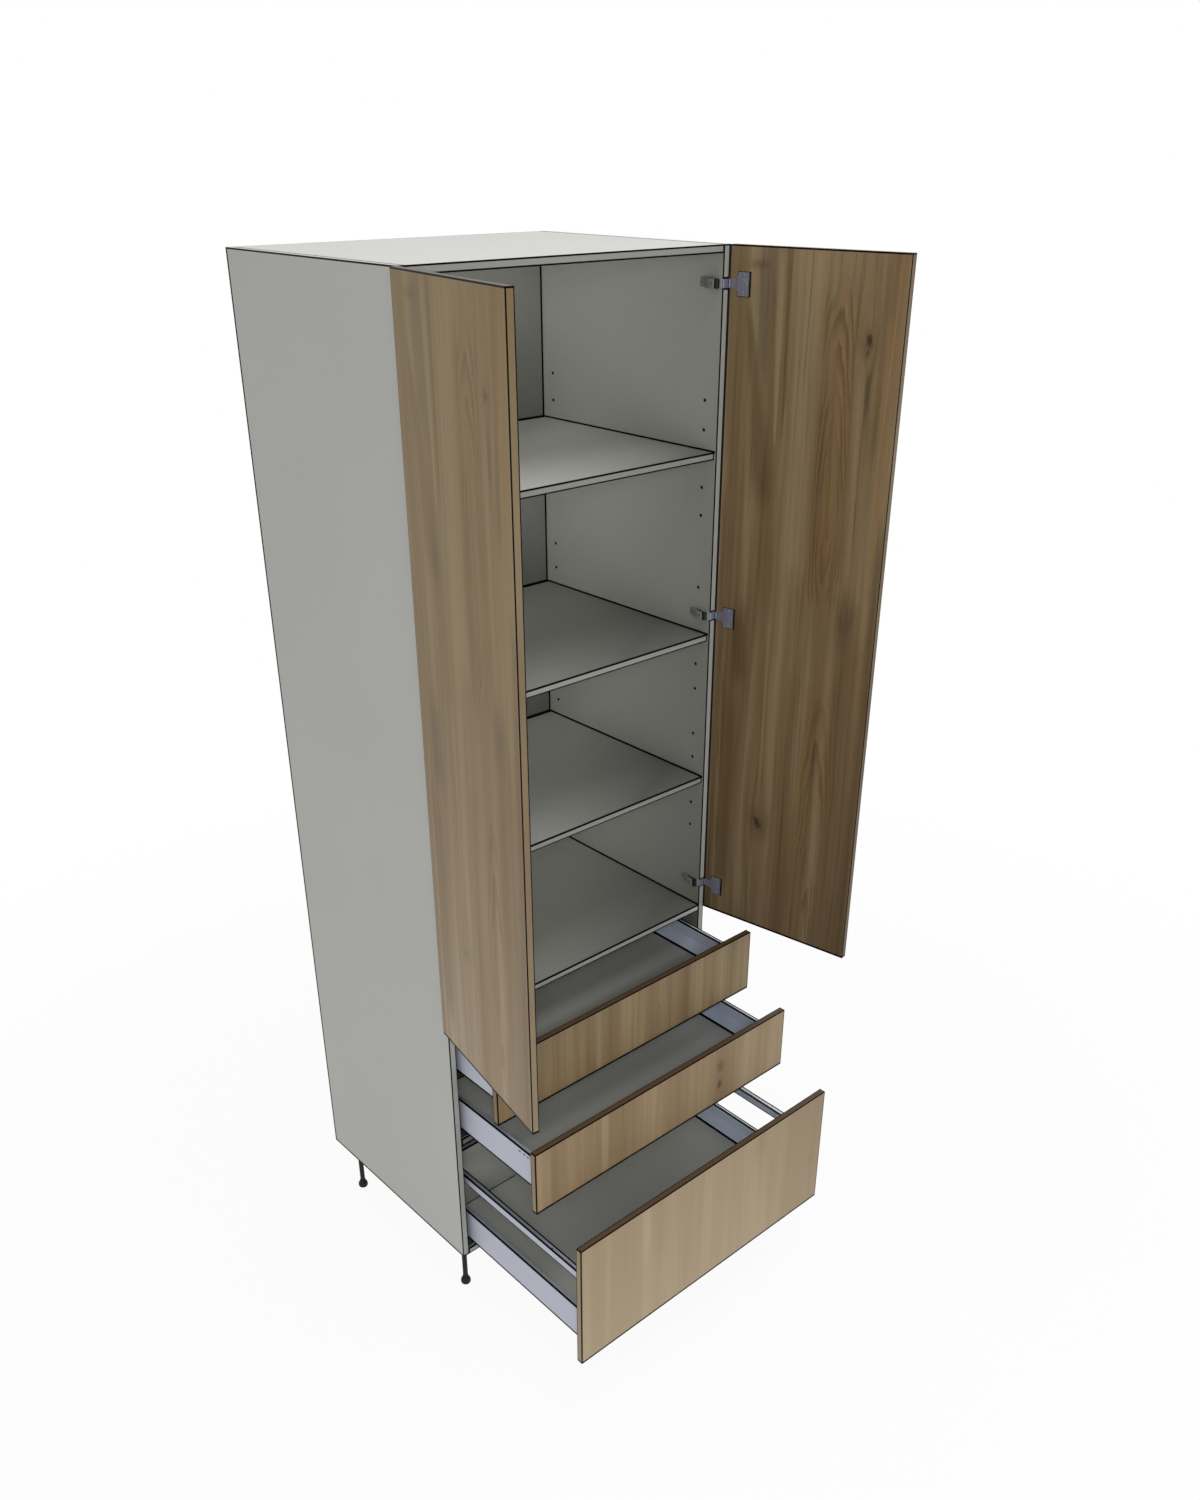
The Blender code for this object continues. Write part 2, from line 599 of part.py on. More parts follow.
clear_scene()
build_carcass()
build_legs()
build_doors()
build_drawer("bottom", bottomFrontZ, BOTTOM_FRONT_HEIGHT, BOTTOM_OUT, TALL_BACK_HEIGHT, True)
build_drawer("middle", middleFrontZ, MIDDLE_FRONT_HEIGHT, MIDDLE_OUT, LOW_BACK_HEIGHT, False)
build_drawer("top", topFrontZ, TOP_FRONT_HEIGHT, TOP_OUT, LOW_BACK_HEIGHT, False)
bpy.context.view_layer.update()
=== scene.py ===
import json
from math import cos, pi, radians, sin

import bmesh
import bpy
from mathutils import Matrix, Vector
from mathutils.geometry import tessellate_polygon

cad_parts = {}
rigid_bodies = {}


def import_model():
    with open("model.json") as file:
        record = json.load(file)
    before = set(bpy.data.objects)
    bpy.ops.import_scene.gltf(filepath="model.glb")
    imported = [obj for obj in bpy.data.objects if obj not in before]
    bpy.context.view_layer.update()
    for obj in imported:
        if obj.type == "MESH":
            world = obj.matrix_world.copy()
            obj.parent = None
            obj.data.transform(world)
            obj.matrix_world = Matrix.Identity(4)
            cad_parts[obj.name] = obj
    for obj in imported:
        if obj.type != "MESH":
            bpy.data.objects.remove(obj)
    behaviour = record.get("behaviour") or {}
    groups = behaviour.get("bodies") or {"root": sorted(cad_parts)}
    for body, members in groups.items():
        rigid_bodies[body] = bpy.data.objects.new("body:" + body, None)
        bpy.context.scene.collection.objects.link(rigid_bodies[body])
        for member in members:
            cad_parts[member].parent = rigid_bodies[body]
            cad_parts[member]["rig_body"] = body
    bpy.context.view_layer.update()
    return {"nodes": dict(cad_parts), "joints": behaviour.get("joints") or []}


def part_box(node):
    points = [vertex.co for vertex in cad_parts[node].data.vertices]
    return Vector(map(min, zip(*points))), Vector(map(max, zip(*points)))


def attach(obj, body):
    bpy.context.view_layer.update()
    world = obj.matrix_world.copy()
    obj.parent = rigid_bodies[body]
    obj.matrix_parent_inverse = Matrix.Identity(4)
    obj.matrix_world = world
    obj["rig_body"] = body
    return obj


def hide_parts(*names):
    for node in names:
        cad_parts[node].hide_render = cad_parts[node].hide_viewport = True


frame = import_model()
nodes = frame["nodes"]
print("frame loaded:", len(nodes), "nodes")

mm = 0.001
drawers = levels = ("top", "middle", "bottom")
shelves = ("fixed_shelf", "lower_shelf", "middle_shelf", "upper_shelf")
hands = {"left": -1, "right": 1}


class Wire:  # a node's output, so that shader maths reads as Python
    def __init__(self, coat, socket):
        self.coat = coat
        self.socket = socket

    def maths(self, operation, first, second=0):
        return self.coat.node("Math", {"operation": operation}, {0: first, 1: second})

    def __add__(self, other):
        return self.maths("ADD", self, other)

    __radd__ = __add__

    def __sub__(self, other):
        return self.maths("SUBTRACT", self, other)

    def __rsub__(self, other):
        return self.maths("SUBTRACT", other, self)

    def __mul__(self, other):
        return self.maths("MULTIPLY", self, other)

    __rmul__ = __mul__

    def __truediv__(self, other):
        return self.maths("DIVIDE", self, other)

    def __rtruediv__(self, other):
        return self.maths("DIVIDE", other, self)

    def __abs__(self):
        return self.maths("ABSOLUTE", self)

    def fraction(self):
        return self.maths("FRACT", self)

    def below(self, other):  # the smaller of the two
        return self.maths("MINIMUM", self, other)

    def above(self, other):  # the larger of the two
        return self.maths("MAXIMUM", self, other)


class Finish:  # one material, or the world, and the nodes that make it
    def __init__(self, name, world=None):
        self.material = world or bpy.data.materials.new(name)
        self.material.use_nodes = True
        self.tree = self.material.node_tree
        self.tree.nodes.clear()
        self.output = "OutputWorld" if world else "OutputMaterial"
        if not world:
            self.point = self.node("TexCoord", out="Object")

    def node(self, kind, settings=None, values=None, out=0):
        made = self.tree.nodes.new("ShaderNode" + kind)
        for name, value in (settings or {}).items():
            if name == "stops":
                fillRamp(made.color_ramp, value)
            else:
                setattr(made, name, value)
        for name, value in (values or {}).items():
            if isinstance(value, Wire):
                self.tree.links.new(value.socket, made.inputs[name])
            else:
                made.inputs[name].default_value = value
        return Wire(self, made.outputs[out])

    def vector(self, operation, first, second=(0, 0, 0), out=0):
        return self.node("VectorMath", {"operation": operation}, {0: first, 1: second}, out)

    def split(self, vector):
        return [self.node("SeparateXYZ", None, {0: vector}, i) for i in range(3)]

    def join(self, x, y, z):
        return self.node("CombineXYZ", None, {0: x, 1: y, 2: z})

    def noise(self, scale, detail=2, roughness=0.5):  # one scale, or one for each axis
        scales = scale if isinstance(scale, tuple) else (scale, scale, scale)
        return self.noiseAt(self.vector("MULTIPLY", self.point, scales), detail, roughness)

    def noiseAt(self, point, detail=2, roughness=0.5):
        values = {"Vector": point, "Scale": 1, "Detail": detail, "Roughness": roughness}
        return self.node("TexNoise", None, values)

    def ray(self, kind):
        return self.node("LightPath", out=f"Is {kind} Ray")

    def rise(self, value, low, high):  # smooth step from 0 at low to 1 at high
        settings = {"interpolation_type": "SMOOTHSTEP"}
        return self.node("MapRange", settings, {"Value": value, "From Min": low, "From Max": high})

    def ramp(self, value, stops):
        return self.node("ValToRGB", {"stops": stops}, {0: value})

    def mix(self, share, first, second, blend="MIX"):
        settings = {"data_type": "RGBA", "blend_type": blend}
        return self.node("Mix", settings, {0: share, 6: first, 7: second}, 2)

    def close(self, colour, roughness, height, bumpDepth, metallic=0, gloss=0.5):
        bump = self.node("Bump", None, {"Height": height, "Distance": bumpDepth, "Strength": 1})
        values = {"Base Color": colour, "Roughness": roughness, "Metallic": metallic,
                  "Specular IOR Level": gloss, "Normal": bump}
        return self.show(self.node("BsdfPrincipled", None, values))

    def show(self, shader):
        output = self.tree.nodes.new("ShaderNode" + self.output)
        self.tree.links.new(shader.socket, output.inputs["Surface"])
        return self.material


def fillRamp(ramp, stops):
    while len(ramp.elements) < len(stops):
        ramp.elements.new(1)
    for element, (place, colour) in zip(ramp.elements, stops):
        element.position = place
        element.color = (*colour[:3], 1)


def paint(red, green, blue):  # a colour as seen on a screen, 0 to 255, for a socket
    return tuple(((part / 255 + 0.055) / 1.055) ** 2.4 for part in (red, green, blue)) + (1,)


def doorTurn(node):  # pivot and angle that close the door again, for a node that rides on a door
    for joint in frame["joints"]:
        if joint["child"] == nodes[node]["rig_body"] and joint["type"] == "hinge":
            return Vector(joint["pos_m"]), radians(joint["range_deg"][0]) * joint["axis"][2]
    return None, 0


def closedBox(node):  # the node's box, with its door closed
    pivot, angle = doorTurn(node)
    if pivot is None:
        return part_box(node)
    turn = Matrix.Translation(pivot) @ Matrix.Rotation(angle, 4, "Z") @ Matrix.Translation(-pivot)
    corners = [turn @ vertex.co for vertex in nodes[node].data.vertices]
    return [Vector([pick(corner[i] for corner in corners) for i in range(3)]) for pick in (min, max)]


def closedPoint(coat, node):
    pivot, angle = doorTurn(node)
    if pivot is None:
        return coat.point
    values = {"Vector": coat.point, "Center": pivot, "Angle": angle}
    return coat.node("VectorRotate", {"rotation_type": "Z_AXIS"}, values)


def edgeDistance(coat, low, high, squeeze):  # from the nearest edge of a box, on its faces
    fromLow = coat.vector("SUBTRACT", coat.point, low)
    inner = coat.vector("MINIMUM", fromLow, coat.vector("SUBTRACT", high, coat.point))
    a, b, c = coat.split(coat.vector("MULTIPLY", inner, squeeze))
    return a.below(b).above(a.above(b).below(c))


seam = {
    "width": 0.003,
    "softness": 0.0004,
    "flat": (0.8, 0.8, 1),  # less than 1 makes the lines across that way wider
    "upright": (1.5, 1.2, 1),
    "door": (2.6, 1.3, 1),
    "front": (1.1, 1.3, 1),
    "frontRise": Vector((0, 0, 0.0011)),  # thins the line along the top of a drawer's front
    "foot": Vector((0, 0, 0.0026)),  # widens the line along the foot of a door, a front or a side
    "sideBack": Vector((0, 0.003, 0)),  # and the one along the back of a side
    "colour": paint(8, 8, 8),
}


def seamed(coat, colour, distance, width=seam["width"]):  # a dark line, and the colour with it
    line = 1 - coat.rise(distance, width - seam["softness"], width + seam["softness"])
    return line, coat.mix(line, colour, seam["colour"])


laminate = {
    "light": paint(181, 182, 177),
    "dark": paint(174, 175, 169),
    "print": 260,  # speckles a metre
    "cloud": 2.6,
    "speckleShare": 0.75,
    "roughness": 0.52,
    "roughnessSpread": 0.16,
    "pearl": 0.00004,  # depth of the pressed texture
    "edgeDepth": (0.0003, 0.0006),  # where the front edge's painted shade ends
    "faceDepth": (0.001, 0.003),  # and where the painted light and shade on an inner face end
}

paintedBoardShading = {  # painted light and shade: how light a board is painted at its low corner, and how much more at its top, back and right
    "left_side": (1.06, -0.13, 0, 0), "right_side": (1.06, -0.13, 0, 0),
    "top_panel": (1.12, 0, 0, 0),
    "fixed_shelf": (0.95, 0, 1.6, -0.8),
    "lower_shelf": (1.32, 0, 1.8, -1.3),
    "middle_shelf": (0.94, 0, 0.98, -0.84),
    "upper_shelf": (1.84, 0, 2.2, -1.6),
    "top_drawer_bottom": (-0.42, 0, 4.2, -0.26),
    "middle_drawer_bottom": (-0.07, 0, 4.1, -0.27),
    "bottom_drawer_bottom": (0.7, 0, 0.86, -0.08),
}
paintedInnerShading = {  # the same painted light and shade, on the faces inside the cabinet
    "left_side": (0.35, 0.43, 1.14, 0), "right_side": (0.35, 0.43, 1.14, 0),
    "back_panel": (0.42, 0.2, 0, 0),
}
paintedEdgeShade = {  # painted shade: how light the front edge is painted
    "left_side": 0.88, "right_side": 0.66, "top_panel": 0.56, "bottom_panel": 0.8, "stretcher_rail": 0.36,
    "fixed_shelf": 1, "lower_shelf": 0.46, "middle_shelf": 0.56, "upper_shelf": 0.5,
}
# limits of the painted light and shade on the boards
toneLimits = {
    "lowest": 0.38,
    "highest": 2,
    "leftOf": 0.36,  # no change further left than this share of the width
    "underShelf": 0.3,  # painted light: the back panel gets lighter towards the shelf above, against the shade under it
}


# painted light and shade that change evenly across a board
def tonePlane(tones, share):
    level, up, back, across = tones
    return level + up * share[2] + back * share[1] + across * share[0].above(toneLimits["leftOf"])


def bayShare(coat, z):  # 0 on a shelf to 1 below the next one
    total = 0
    for below, above in zip(shelves, (*shelves[1:], "top_panel")):
        values = {"Value": z, "From Min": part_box(below)[1].z, "From Max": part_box(above)[0].z}
        total = coat.node("MapRange", None, values) + total
    return total.fraction()


def laminateFinish(node, look=laminate):
    coat = Finish(node + "_laminate")
    low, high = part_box(node)
    start, end, squeeze = low, high, seam["flat"]
    if node.endswith("_side"):
        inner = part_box("top_panel")[1].x  # its pins stand proud of the board
        low, high = (Vector((inner, *low.yz)), high) if low.x > 0 else (low, Vector((-inner, *high.yz)))
        start, end = low + seam["foot"], high - seam["sideBack"]
        squeeze = seam["upright"]
    distance = edgeDistance(coat, start, end, squeeze)
    speckle = coat.noise(look["print"], 3, 0.7)
    pearl = coat.noise(look["print"] * 4)
    cloudShare = 1 - look["speckleShare"]
    tone = coat.rise(coat.noise(look["cloud"], 3) * cloudShare + speckle * look["speckleShare"], 0.3, 0.7)
    colour = coat.mix(tone, look["dark"], look["light"])
    x, y, z = coat.split(coat.point)
    share = [(part - low[i]) / (high[i] - low[i]) for i, part in enumerate((x, y, z))]
    # painted light and shade on the board, and on its inner faces
    shade = tonePlane(paintedBoardShading.get(node, (1, 0, 0, 0)), share)
    if node in paintedInnerShading:
        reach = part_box("fixed_shelf")[1].x
        away = y - low.y if node == "back_panel" else abs(abs(x) - reach)
        for shelf in shelves:  # lines where the shelves meet it
            shelfLow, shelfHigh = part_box(shelf)
            distance = distance.below(abs(z - shelfHigh.z) + (shelfLow.y - y).above(0) + away)
        inner = tonePlane(paintedInnerShading[node], share)
        if node == "back_panel":
            distance = distance.below(abs(abs(x) - reach) + away)
            inner = inner + bayShare(coat, z) * toneLimits["underShelf"]
        shade = inner + (shade - inner) * coat.rise(away, *look["faceDepth"])
    shade = shade.above(toneLimits["lowest"]).below(toneLimits["highest"])
    # painted shade on the front edge
    if node in paintedEdgeShade:
        onEdge = 1 - coat.rise(y - low.y, *look["edgeDepth"])
        shade = shade + (paintedEdgeShade[node] - shade) * onEdge
    line, colour = seamed(coat, coat.mix(1, colour, shade, "MULTIPLY"), distance)
    roughness = look["roughness"] + (speckle - 0.5) * look["roughnessSpread"]
    return coat.close(colour, roughness, pearl, look["pearl"], line)


wood = {
    "base": paint(164, 142, 110),
    "pale": paint(200, 182, 150),
    "brown": paint(132, 108, 78),
    "dark": paint(94, 73, 50),
    "olive": paint(149, 136, 104),
    "amber": paint(184, 140, 90),
    "smoke": paint(126, 115, 97),
    "knot": paint(58, 46, 38),
    "end": (paint(71, 54, 36), paint(91, 71, 49)),
    "endDepth": (0.0005, 0.0009),  # how deep the end grain and the free edge's painted shade reach
    "freeEdgeDepth": (0.0003, 0.0006),
    "freeEdge": 0.68,  # painted shade: how light the free edge of a door is painted
    # noises: changes a metre across and along the grain, seed, detail, roughness
    "wander": (3, 1.1, 0, 2, 0.5),
    "ragged": (150, 6, 1, 3, 0.6),
    "bands": (22, 0.9, 0, 2, 0.5),
    "streaks": (100, 1.1, 2, 3, 0.55),
    "fibres": (420, 5, 4, 3, 0.65),
    "wobble": (40, 9, 3, 3, 0.5),
    "breaks": (20, 5, 6, 2, 0.5),
    "pores": (900, 30, 9, 1, 0.5),
    "crumbs": (180, 180, 110),
    "endPores": (400, 500),
    "wanderReach": 0.03,  # how far the grain strays, and the edges of streaks and rings
    "raggedReach": 0.016,
    "wobbleReach": 0.014,
    "ringsPerMetre": 130,
    "streakDepth": 0.85,  # how much they change the tone
    "fibreDepth": 0.45,
    "amberLines": (0.52, 0.66, 0.3),  # start, full and strength, among streaks and fibres
    "darkLines": (0.34, 0.47, 0.4),
    "bumpDepth": 0.00012,
    "roughness": 0.5,
    "gloss": 0.34,
}

doorFigure = {  # lengths in mm
    # hearts: across and height of the middle, half width, reach up and down, stretch, strength
    "hearts": ((262, 1846, 52, 500, 200, 9, 0.6), (278, 780, 50, 740, 100, 15, 0.5)),
    # knots: across, height, size, lean, strength
    "knots": ((324, 2206, 9.5, 0, 0.95), (322, 2184, 4.5, 0, 0.6), (140, 1112, 12, 0.2, 0.85)),
    # streaks: across, height and half width of each end, the upper first, shade, strength
    "streaks": (
        (118, 2420, 13, 127, 1930, 1, "pale", 0.62), (140, 2420, 6, 143, 1960, 2, "brown", 0.75),
        (190, 2420, 26, 193, 1670, 28, "pale", 0.42), (80, 2420, 22, 92, 2060, 12, "smoke", 0.65),
        (44, 2290, 3, 110, 1830, 36, "brown", 0.75), (105, 1980, 10, 112, 1830, 18, "dark", 0.3),
        (232, 2330, 10, 234, 1700, 10, "brown", 0.4), (300, 2330, 8, 300, 1700, 10, "brown", 0.35),
        (264, 2300, 12, 266, 1700, 16, "amber", 0.28), (326, 2195, 9, 331, 2020, 4, "dark", 0.55),
        (338, 2100, 16, 345, 1950, 10, "smoke", 0.4), (354, 2420, 8, 354, 1950, 6, "brown", 0.65),
        (374, 2420, 10, 374, 1700, 12, "amber", 0.3), (330, 1740, 26, 330, 1550, 26, "dark", 0.6),
        (345, 1660, 26, 350, 740, 38, "brown", 0.75), (388, 1900, 8, 385, 740, 12, "dark", 0.45),
        (64, 1680, 16, 66, 1400, 22, "dark", 0.6), (50, 1470, 22, 46, 860, 16, "brown", 0.75),
        (140, 1680, 6, 139, 1170, 4, "pale", 0.42), (128, 1100, 4, 135, 740, 6, "pale", 0.3),
        (170, 1190, 10, 162, 1040, 14, "olive", 0.75), (215, 1560, 16, 205, 740, 22, "brown", 0.4),
        (250, 1350, 10, 245, 740, 12, "amber", 0.25), (10, 1920, 6, 10, 740, 8, "dark", 0.45),
        (24, 1600, 3, 24, 740, 3, "pale", 0.35), (70, 2345, 20, 70, 2315, 20, "dark", 0.55),
    ),
    "seed": 3,
}

veneerLooks = {  # tints up from the foot, which also paint light and shade: each door and front lighter or darker towards its foot; how strong marks, bands and grain show
    "right_door": {
        **doorFigure, "marks": 1, "figure": 0.8, "grain": 1,
        "tints": ((0, (0.39, 0.363, 0.31)), (0.3, (0.505, 0.465, 0.395)), (1, (0.553, 0.52, 0.455)))},
    "left_door": {
        **doorFigure, "marks": 0.65, "figure": 0.42, "grain": 0.35,
        "knots": ((324, 2206, 8, 0, 0.7), (140, 1112, 8, 0.2, 0.3)),
        "tints": ((0, (0.877, 0.903, 0.944)), (0.25, (0.77, 0.757, 0.735)), (0.42, (0.668, 0.628, 0.543)),
                  (0.58, (0.617, 0.587, 0.478)), (1, (0.575, 0.54, 0.414)))},
    "top_drawer_front": {
        "tints": ((0, (0.57, 0.556, 0.484)), (1, (0.44, 0.42, 0.35))),
        "marks": 0.6, "figure": 0.48, "grain": 0.65, "seed": 17,
        "hearts": ((86, 640, 50, 200, 100, 5, 0.3),),
        "knots": (),
        "streaks": (
            (178, 920, 12, 172, 560, 12, "dark", 0.5), (90, 920, 60, 90, 560, 60, "pale", 0.25),
            (-190, 920, 10, -185, 560, 12, "pale", 0.35), (-90, 920, 6, -96, 560, 5, "dark", 0.4),
            (10, 920, 6, 6, 560, 6, "pale", 0.35), (240, 920, 6, 236, 560, 6, "dark", 0.35),
            (336, 920, 16, 326, 560, 14, "dark", 0.35))},
    "middle_drawer_front": {
        "tints": ((0, (0.72, 0.7, 0.68)), (1, (0.6, 0.573, 0.54))),
        "marks": 0.7, "figure": 0.42, "grain": 0.45, "seed": 29,
        "hearts": ((172, 560, 40, 100, 100, 3, 0.16),),
        "knots": ((173, 602, 11, 0.1, 0.62), (171.5, 548, 7, 0, 1)),
        "streaks": (
            (-200, 750, 10, -198, 400, 10, "pale", 0.4), (-150, 750, 20, -150, 400, 22, "olive", 0.45),
            (90, 750, 60, 85, 400, 50, "pale", 0.25), (185, 600, 12, 170, 420, 30, "dark", 0.35),
            (-350, 750, 16, -345, 400, 14, "brown", 0.3))},
    "bottom_drawer_front": {
        "tints": ((0, (0.856, 0.906, 1)), (1, (0.72, 0.745, 0.757))),
        "marks": 0.45, "figure": 0.16, "grain": 0.2, "seed": 41,
        "hearts": ((202, 360, 50, 150, 100, 6, 0.2),),
        "knots": ((362, 293, 7, 0, 0.4), (217, 290, 4, 0, 0.3)),
        "streaks": (
            (-205, 600, 10, -205, 300, 10, "pale", 0.5), (-165, 600, 20, -160, 280, 22, "smoke", 0.5),
            (155, 600, 24, 175, 360, 30, "dark", 0.3),
            (345, 600, 100, 345, 50, 100, "brown", 0.85))},
}


def inMetres(row, count):  # a row of a table, with its first entries turned from mm
    return (*[part * mm for part in row[:count]], *row[count:])


def veneerFinish(node):
    look = veneerLooks[node]
    seed, marks, grain = look["seed"], look["marks"], look["grain"]
    coat = Finish(node + "_veneer")
    coat.point = closedPoint(coat, node)
    low, high = closedBox(node)
    x, y, z = coat.split(coat.point)
    across = x
    if node.endswith("_door"):  # measured from its hinge edge
        across = high.x - x if node.startswith("right") else x - low.x

    def grained(wide, kind):
        sideways, lengthways, step, detail, rough = wood[kind]
        return coat.noiseAt(coat.join(wide * sideways, seed + step, z * lengthways), detail, rough)

    # the grain wanders a little, and parts round the knots
    flow = across
    knots = [inMetres(row, 3) for row in look["knots"]]
    for knotX, knotZ, size, lean, strength in knots:
        spanX = across - knotX
        spanZ = (z - knotZ) / 4
        near = 1 / (1 + (spanX * spanX + spanZ * spanZ) / (size * 2.2) ** 2)
        flow = flow - spanX * near * 0.75
    flow = flow + (grained(flow, "wander") - 0.5) * wood["wanderReach"]
    ragged = grained(flow, "ragged") - 0.5
    # broad bands, streaks and fibres
    streak = grained(flow, "streaks")
    fibre = grained(flow, "fibres")
    bandStops = ((0.3, wood["brown"]), (0.5, wood["base"]), (0.72, wood["pale"]))
    colour = coat.mix(look["figure"], wood["base"], coat.ramp(grained(flow, "bands"), bandStops))
    for row in look["streaks"]:
        fromX, fromZ, fromHalf, toX, toZ, toHalf, shade, strength = inMetres(row, 6)
        tall = fromZ - toZ
        down = (fromZ - z) / tall
        half = (fromHalf + down * (toHalf - fromHalf)).above(mm)
        off = abs(across + ragged * wood["raggedReach"] - fromX - down * (toX - fromX)) / half
        soft = min(0.05 / tall, 0.3)
        end = down + ragged * soft * 2
        length = coat.rise(end, 0, 2 * soft) * (1 - coat.rise(end, 1 - 2 * soft, 1))
        seen = (1 - coat.rise(off, 0.3, 1.6)) * length * (strength * marks)
        colour = coat.mix(seen, colour, wood[shade])
    tone = 1 + (streak - 0.5) * (wood["streakDepth"] * look["figure"])
    tone = tone + (fibre - 0.5) * (wood["fibreDepth"] * grain)
    colour = coat.mix(1, colour, tone, "MULTIPLY")
    lines = streak * 0.5 + fibre * 0.5
    start, full, strength = wood["amberLines"]
    colour = coat.mix(coat.rise(lines, start, full) * (strength * grain), colour, wood["amber"])
    full, start, strength = wood["darkLines"]
    colour = coat.mix((1 - coat.rise(lines, full, start)) * (strength * grain), colour, wood["dark"])
    # growth rings round the hearts, broken here and there
    wobble = (grained(across, "wobble") - 0.5) * wood["wobbleReach"]
    broken = coat.rise(grained(across, "breaks"), 0.38, 0.6)
    for row in look["hearts"]:
        heartX, heartZ, half, up, down, stretch, strength = inMetres(row, 5)
        reach = coat.vector("LENGTH", coat.join(flow - heartX, (z - heartZ) / stretch, 0.003), out=1)
        phase = ((reach + wobble) * wood["ringsPerMetre"]).fraction()
        ring = coat.rise(phase, 0.1, 0.85) * (1 - coat.rise(phase, 0.85, 1))
        seen = (1 - coat.rise(abs(flow - heartX), half * 0.5, half)) * broken * (strength * marks)
        seen = seen * coat.rise(z, heartZ - down, heartZ - down * 0.7)
        seen = seen * (1 - coat.rise(z, heartZ + up * 0.8, heartZ + up))
        colour = coat.mix(ring * seen, colour, wood["dark"])
        colour = coat.mix((1 - phase) * seen * 0.5, colour, wood["amber"])
    pore = coat.rise(grained(across, "pores"), 0.62, 0.74)
    colour = coat.mix(pore * (0.25 * grain), colour, wood["dark"])
    crumb = coat.noise(wood["crumbs"], 3, 0.6) - 0.5
    for knotX, knotZ, size, lean, strength in knots:
        offX = (across - knotX - (knotZ - z) * lean) / size
        away = coat.vector("LENGTH", coat.join(offX, 0, (z - knotZ) / size / 1.7), out=1)
        away = away + ragged * 1.2 + crumb * 1.6
        strength = strength * marks
        colour = coat.mix((1 - coat.rise(away, 0.7, 3.2)) * strength * 0.6, colour, wood["brown"])
        colour = coat.mix((1 - coat.rise(away, 0.2, 1.3)) * strength, colour, wood["knot"])
    # the tints, which also paint light and shade up from the foot
    share = (z - low.z) / (high.z - low.z)
    colour = coat.mix(1, colour, coat.ramp(share, look["tints"]), "MULTIPLY")
    # end grain on the top and the foot
    thick, deep = wood["endPores"]
    endGrain = coat.mix(coat.noiseAt(coat.join(across * thick, y * deep, seed)), *wood["end"])
    ends = 1 - coat.rise((z - low.z).below(high.z - z), *wood["endDepth"])
    colour = coat.mix(ends, colour, endGrain)
    low = low + seam["foot"]
    if node.endswith("_door"):
        # painted shade on the free edge of a door
        free = 1 - coat.rise(high.x - low.x - across, *wood["freeEdgeDepth"])
        colour = coat.mix(1, colour, 1 - free * (1 - wood["freeEdge"]), "MULTIPLY")
        squeeze = seam["door"]
    else:
        high = high + seam["frontRise"]
        squeeze = seam["front"]
    line, colour = seamed(coat, colour, edgeDistance(coat, low, high, squeeze))
    roughness = wood["roughness"] + (fibre - 0.5) * 0.25
    height = streak * 0.3 + fibre * 0.4 - pore * 0.8
    return coat.close(colour, roughness, height, wood["bumpDepth"], line, wood["gloss"])


steel = {
    "colour": paint(190, 194, 208),
    "shade": paint(180, 184, 199),
    # painted shade on the left rims and painted light on the right ones, and the inside of the right ones
    # painted lighter
    "rims": {"left": paint(146, 149, 163), "right": paint(236, 237, 241)},
    "inside": {"left": paint(190, 194, 208), "right": paint(218, 230, 253)},
    # painted light: how light the sloped inner wall is painted by the front, and how much more each metre
    # further in
    "insideTones": {"top": (0.02, 5.2), "middle": (0.1, 5.6), "bottom": (1.18, 0)},
    "bendDrop": 0.034,  # where the inner wall starts to slope, below the rim
    "rimWidth": 0.01,
    "rimLevel": 0.118,  # above the foot of the drawer's front
    "rimDepth": (0.0003, 0.0006),  # where the rim's painted shade and light end
    "wallDepth": (0.0006, 0.001),  # and the outer wall's
    "cloud": 7,
    "peel": 900,
    "peelDepth": 0.00003,
    "roughness": 0.42,
}


def coatedFinish(node, look=steel):  # of a drawer side or a gallery rail
    coat = Finish(node + "_coat")
    low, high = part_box(node)
    hand = "right" if low.x > 0 else "left"
    if node.endswith("_side"):  # the bottom drawer's also hold its rails
        high.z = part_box(node.split("_")[0] + "_drawer_front")[0].z + look["rimLevel"]
    peel = coat.noise(look["peel"])
    colour = coat.mix(coat.noise(look["cloud"]), look["shade"], look["colour"])
    x, y, z = coat.split(coat.point)
    outer = 1 - coat.rise(max(high.x, -low.x) - abs(x), *look["wallDepth"])
    # the inside painted lighter on the right
    inside = look["inside"][hand]
    start = low
    if node.endswith("_side"):
        drawer = node.split("_")[0]
        # painted light and shade on the inner wall, lighter further in
        level, further = look["insideTones"][drawer]
        tone = level + further * (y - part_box(drawer + "_drawer_front")[1].y)
        bend = high.z - look["bendDrop"]
        upright = coat.rise(z, bend - 2 * mm, bend + 2 * mm)
        tone = (tone + (0.6 - tone * 0.5) * upright).above(0.6).below(1.3)
        inside = coat.mix(1, inside, tone, "MULTIPLY")
        start = low + seam["foot"]
    colour = coat.mix(outer, inside, colour)
    # painted shade and light on the rims
    onRim = 1 - coat.rise(high.z - z, *look["rimDepth"])
    colour = coat.mix(onRim, colour, look["rims"][hand])
    distance = edgeDistance(coat, start, high, seam["flat"])
    if hand == "right" and node.endswith("_side"):  # lines where its inner wall meets its rim and the tray
        fold = abs(x - (high.x - look["rimWidth"])).above((high.z - z) * 0.7)
        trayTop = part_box(drawer + "_drawer_bottom")[1].z
        distance = distance.below(fold).below(abs(z - trayTop) + outer)
    line, colour = seamed(coat, colour, distance)
    roughness = look["roughness"] + (peel - 0.5) * 0.15
    return coat.close(colour, roughness, peel, look["peelDepth"], line)


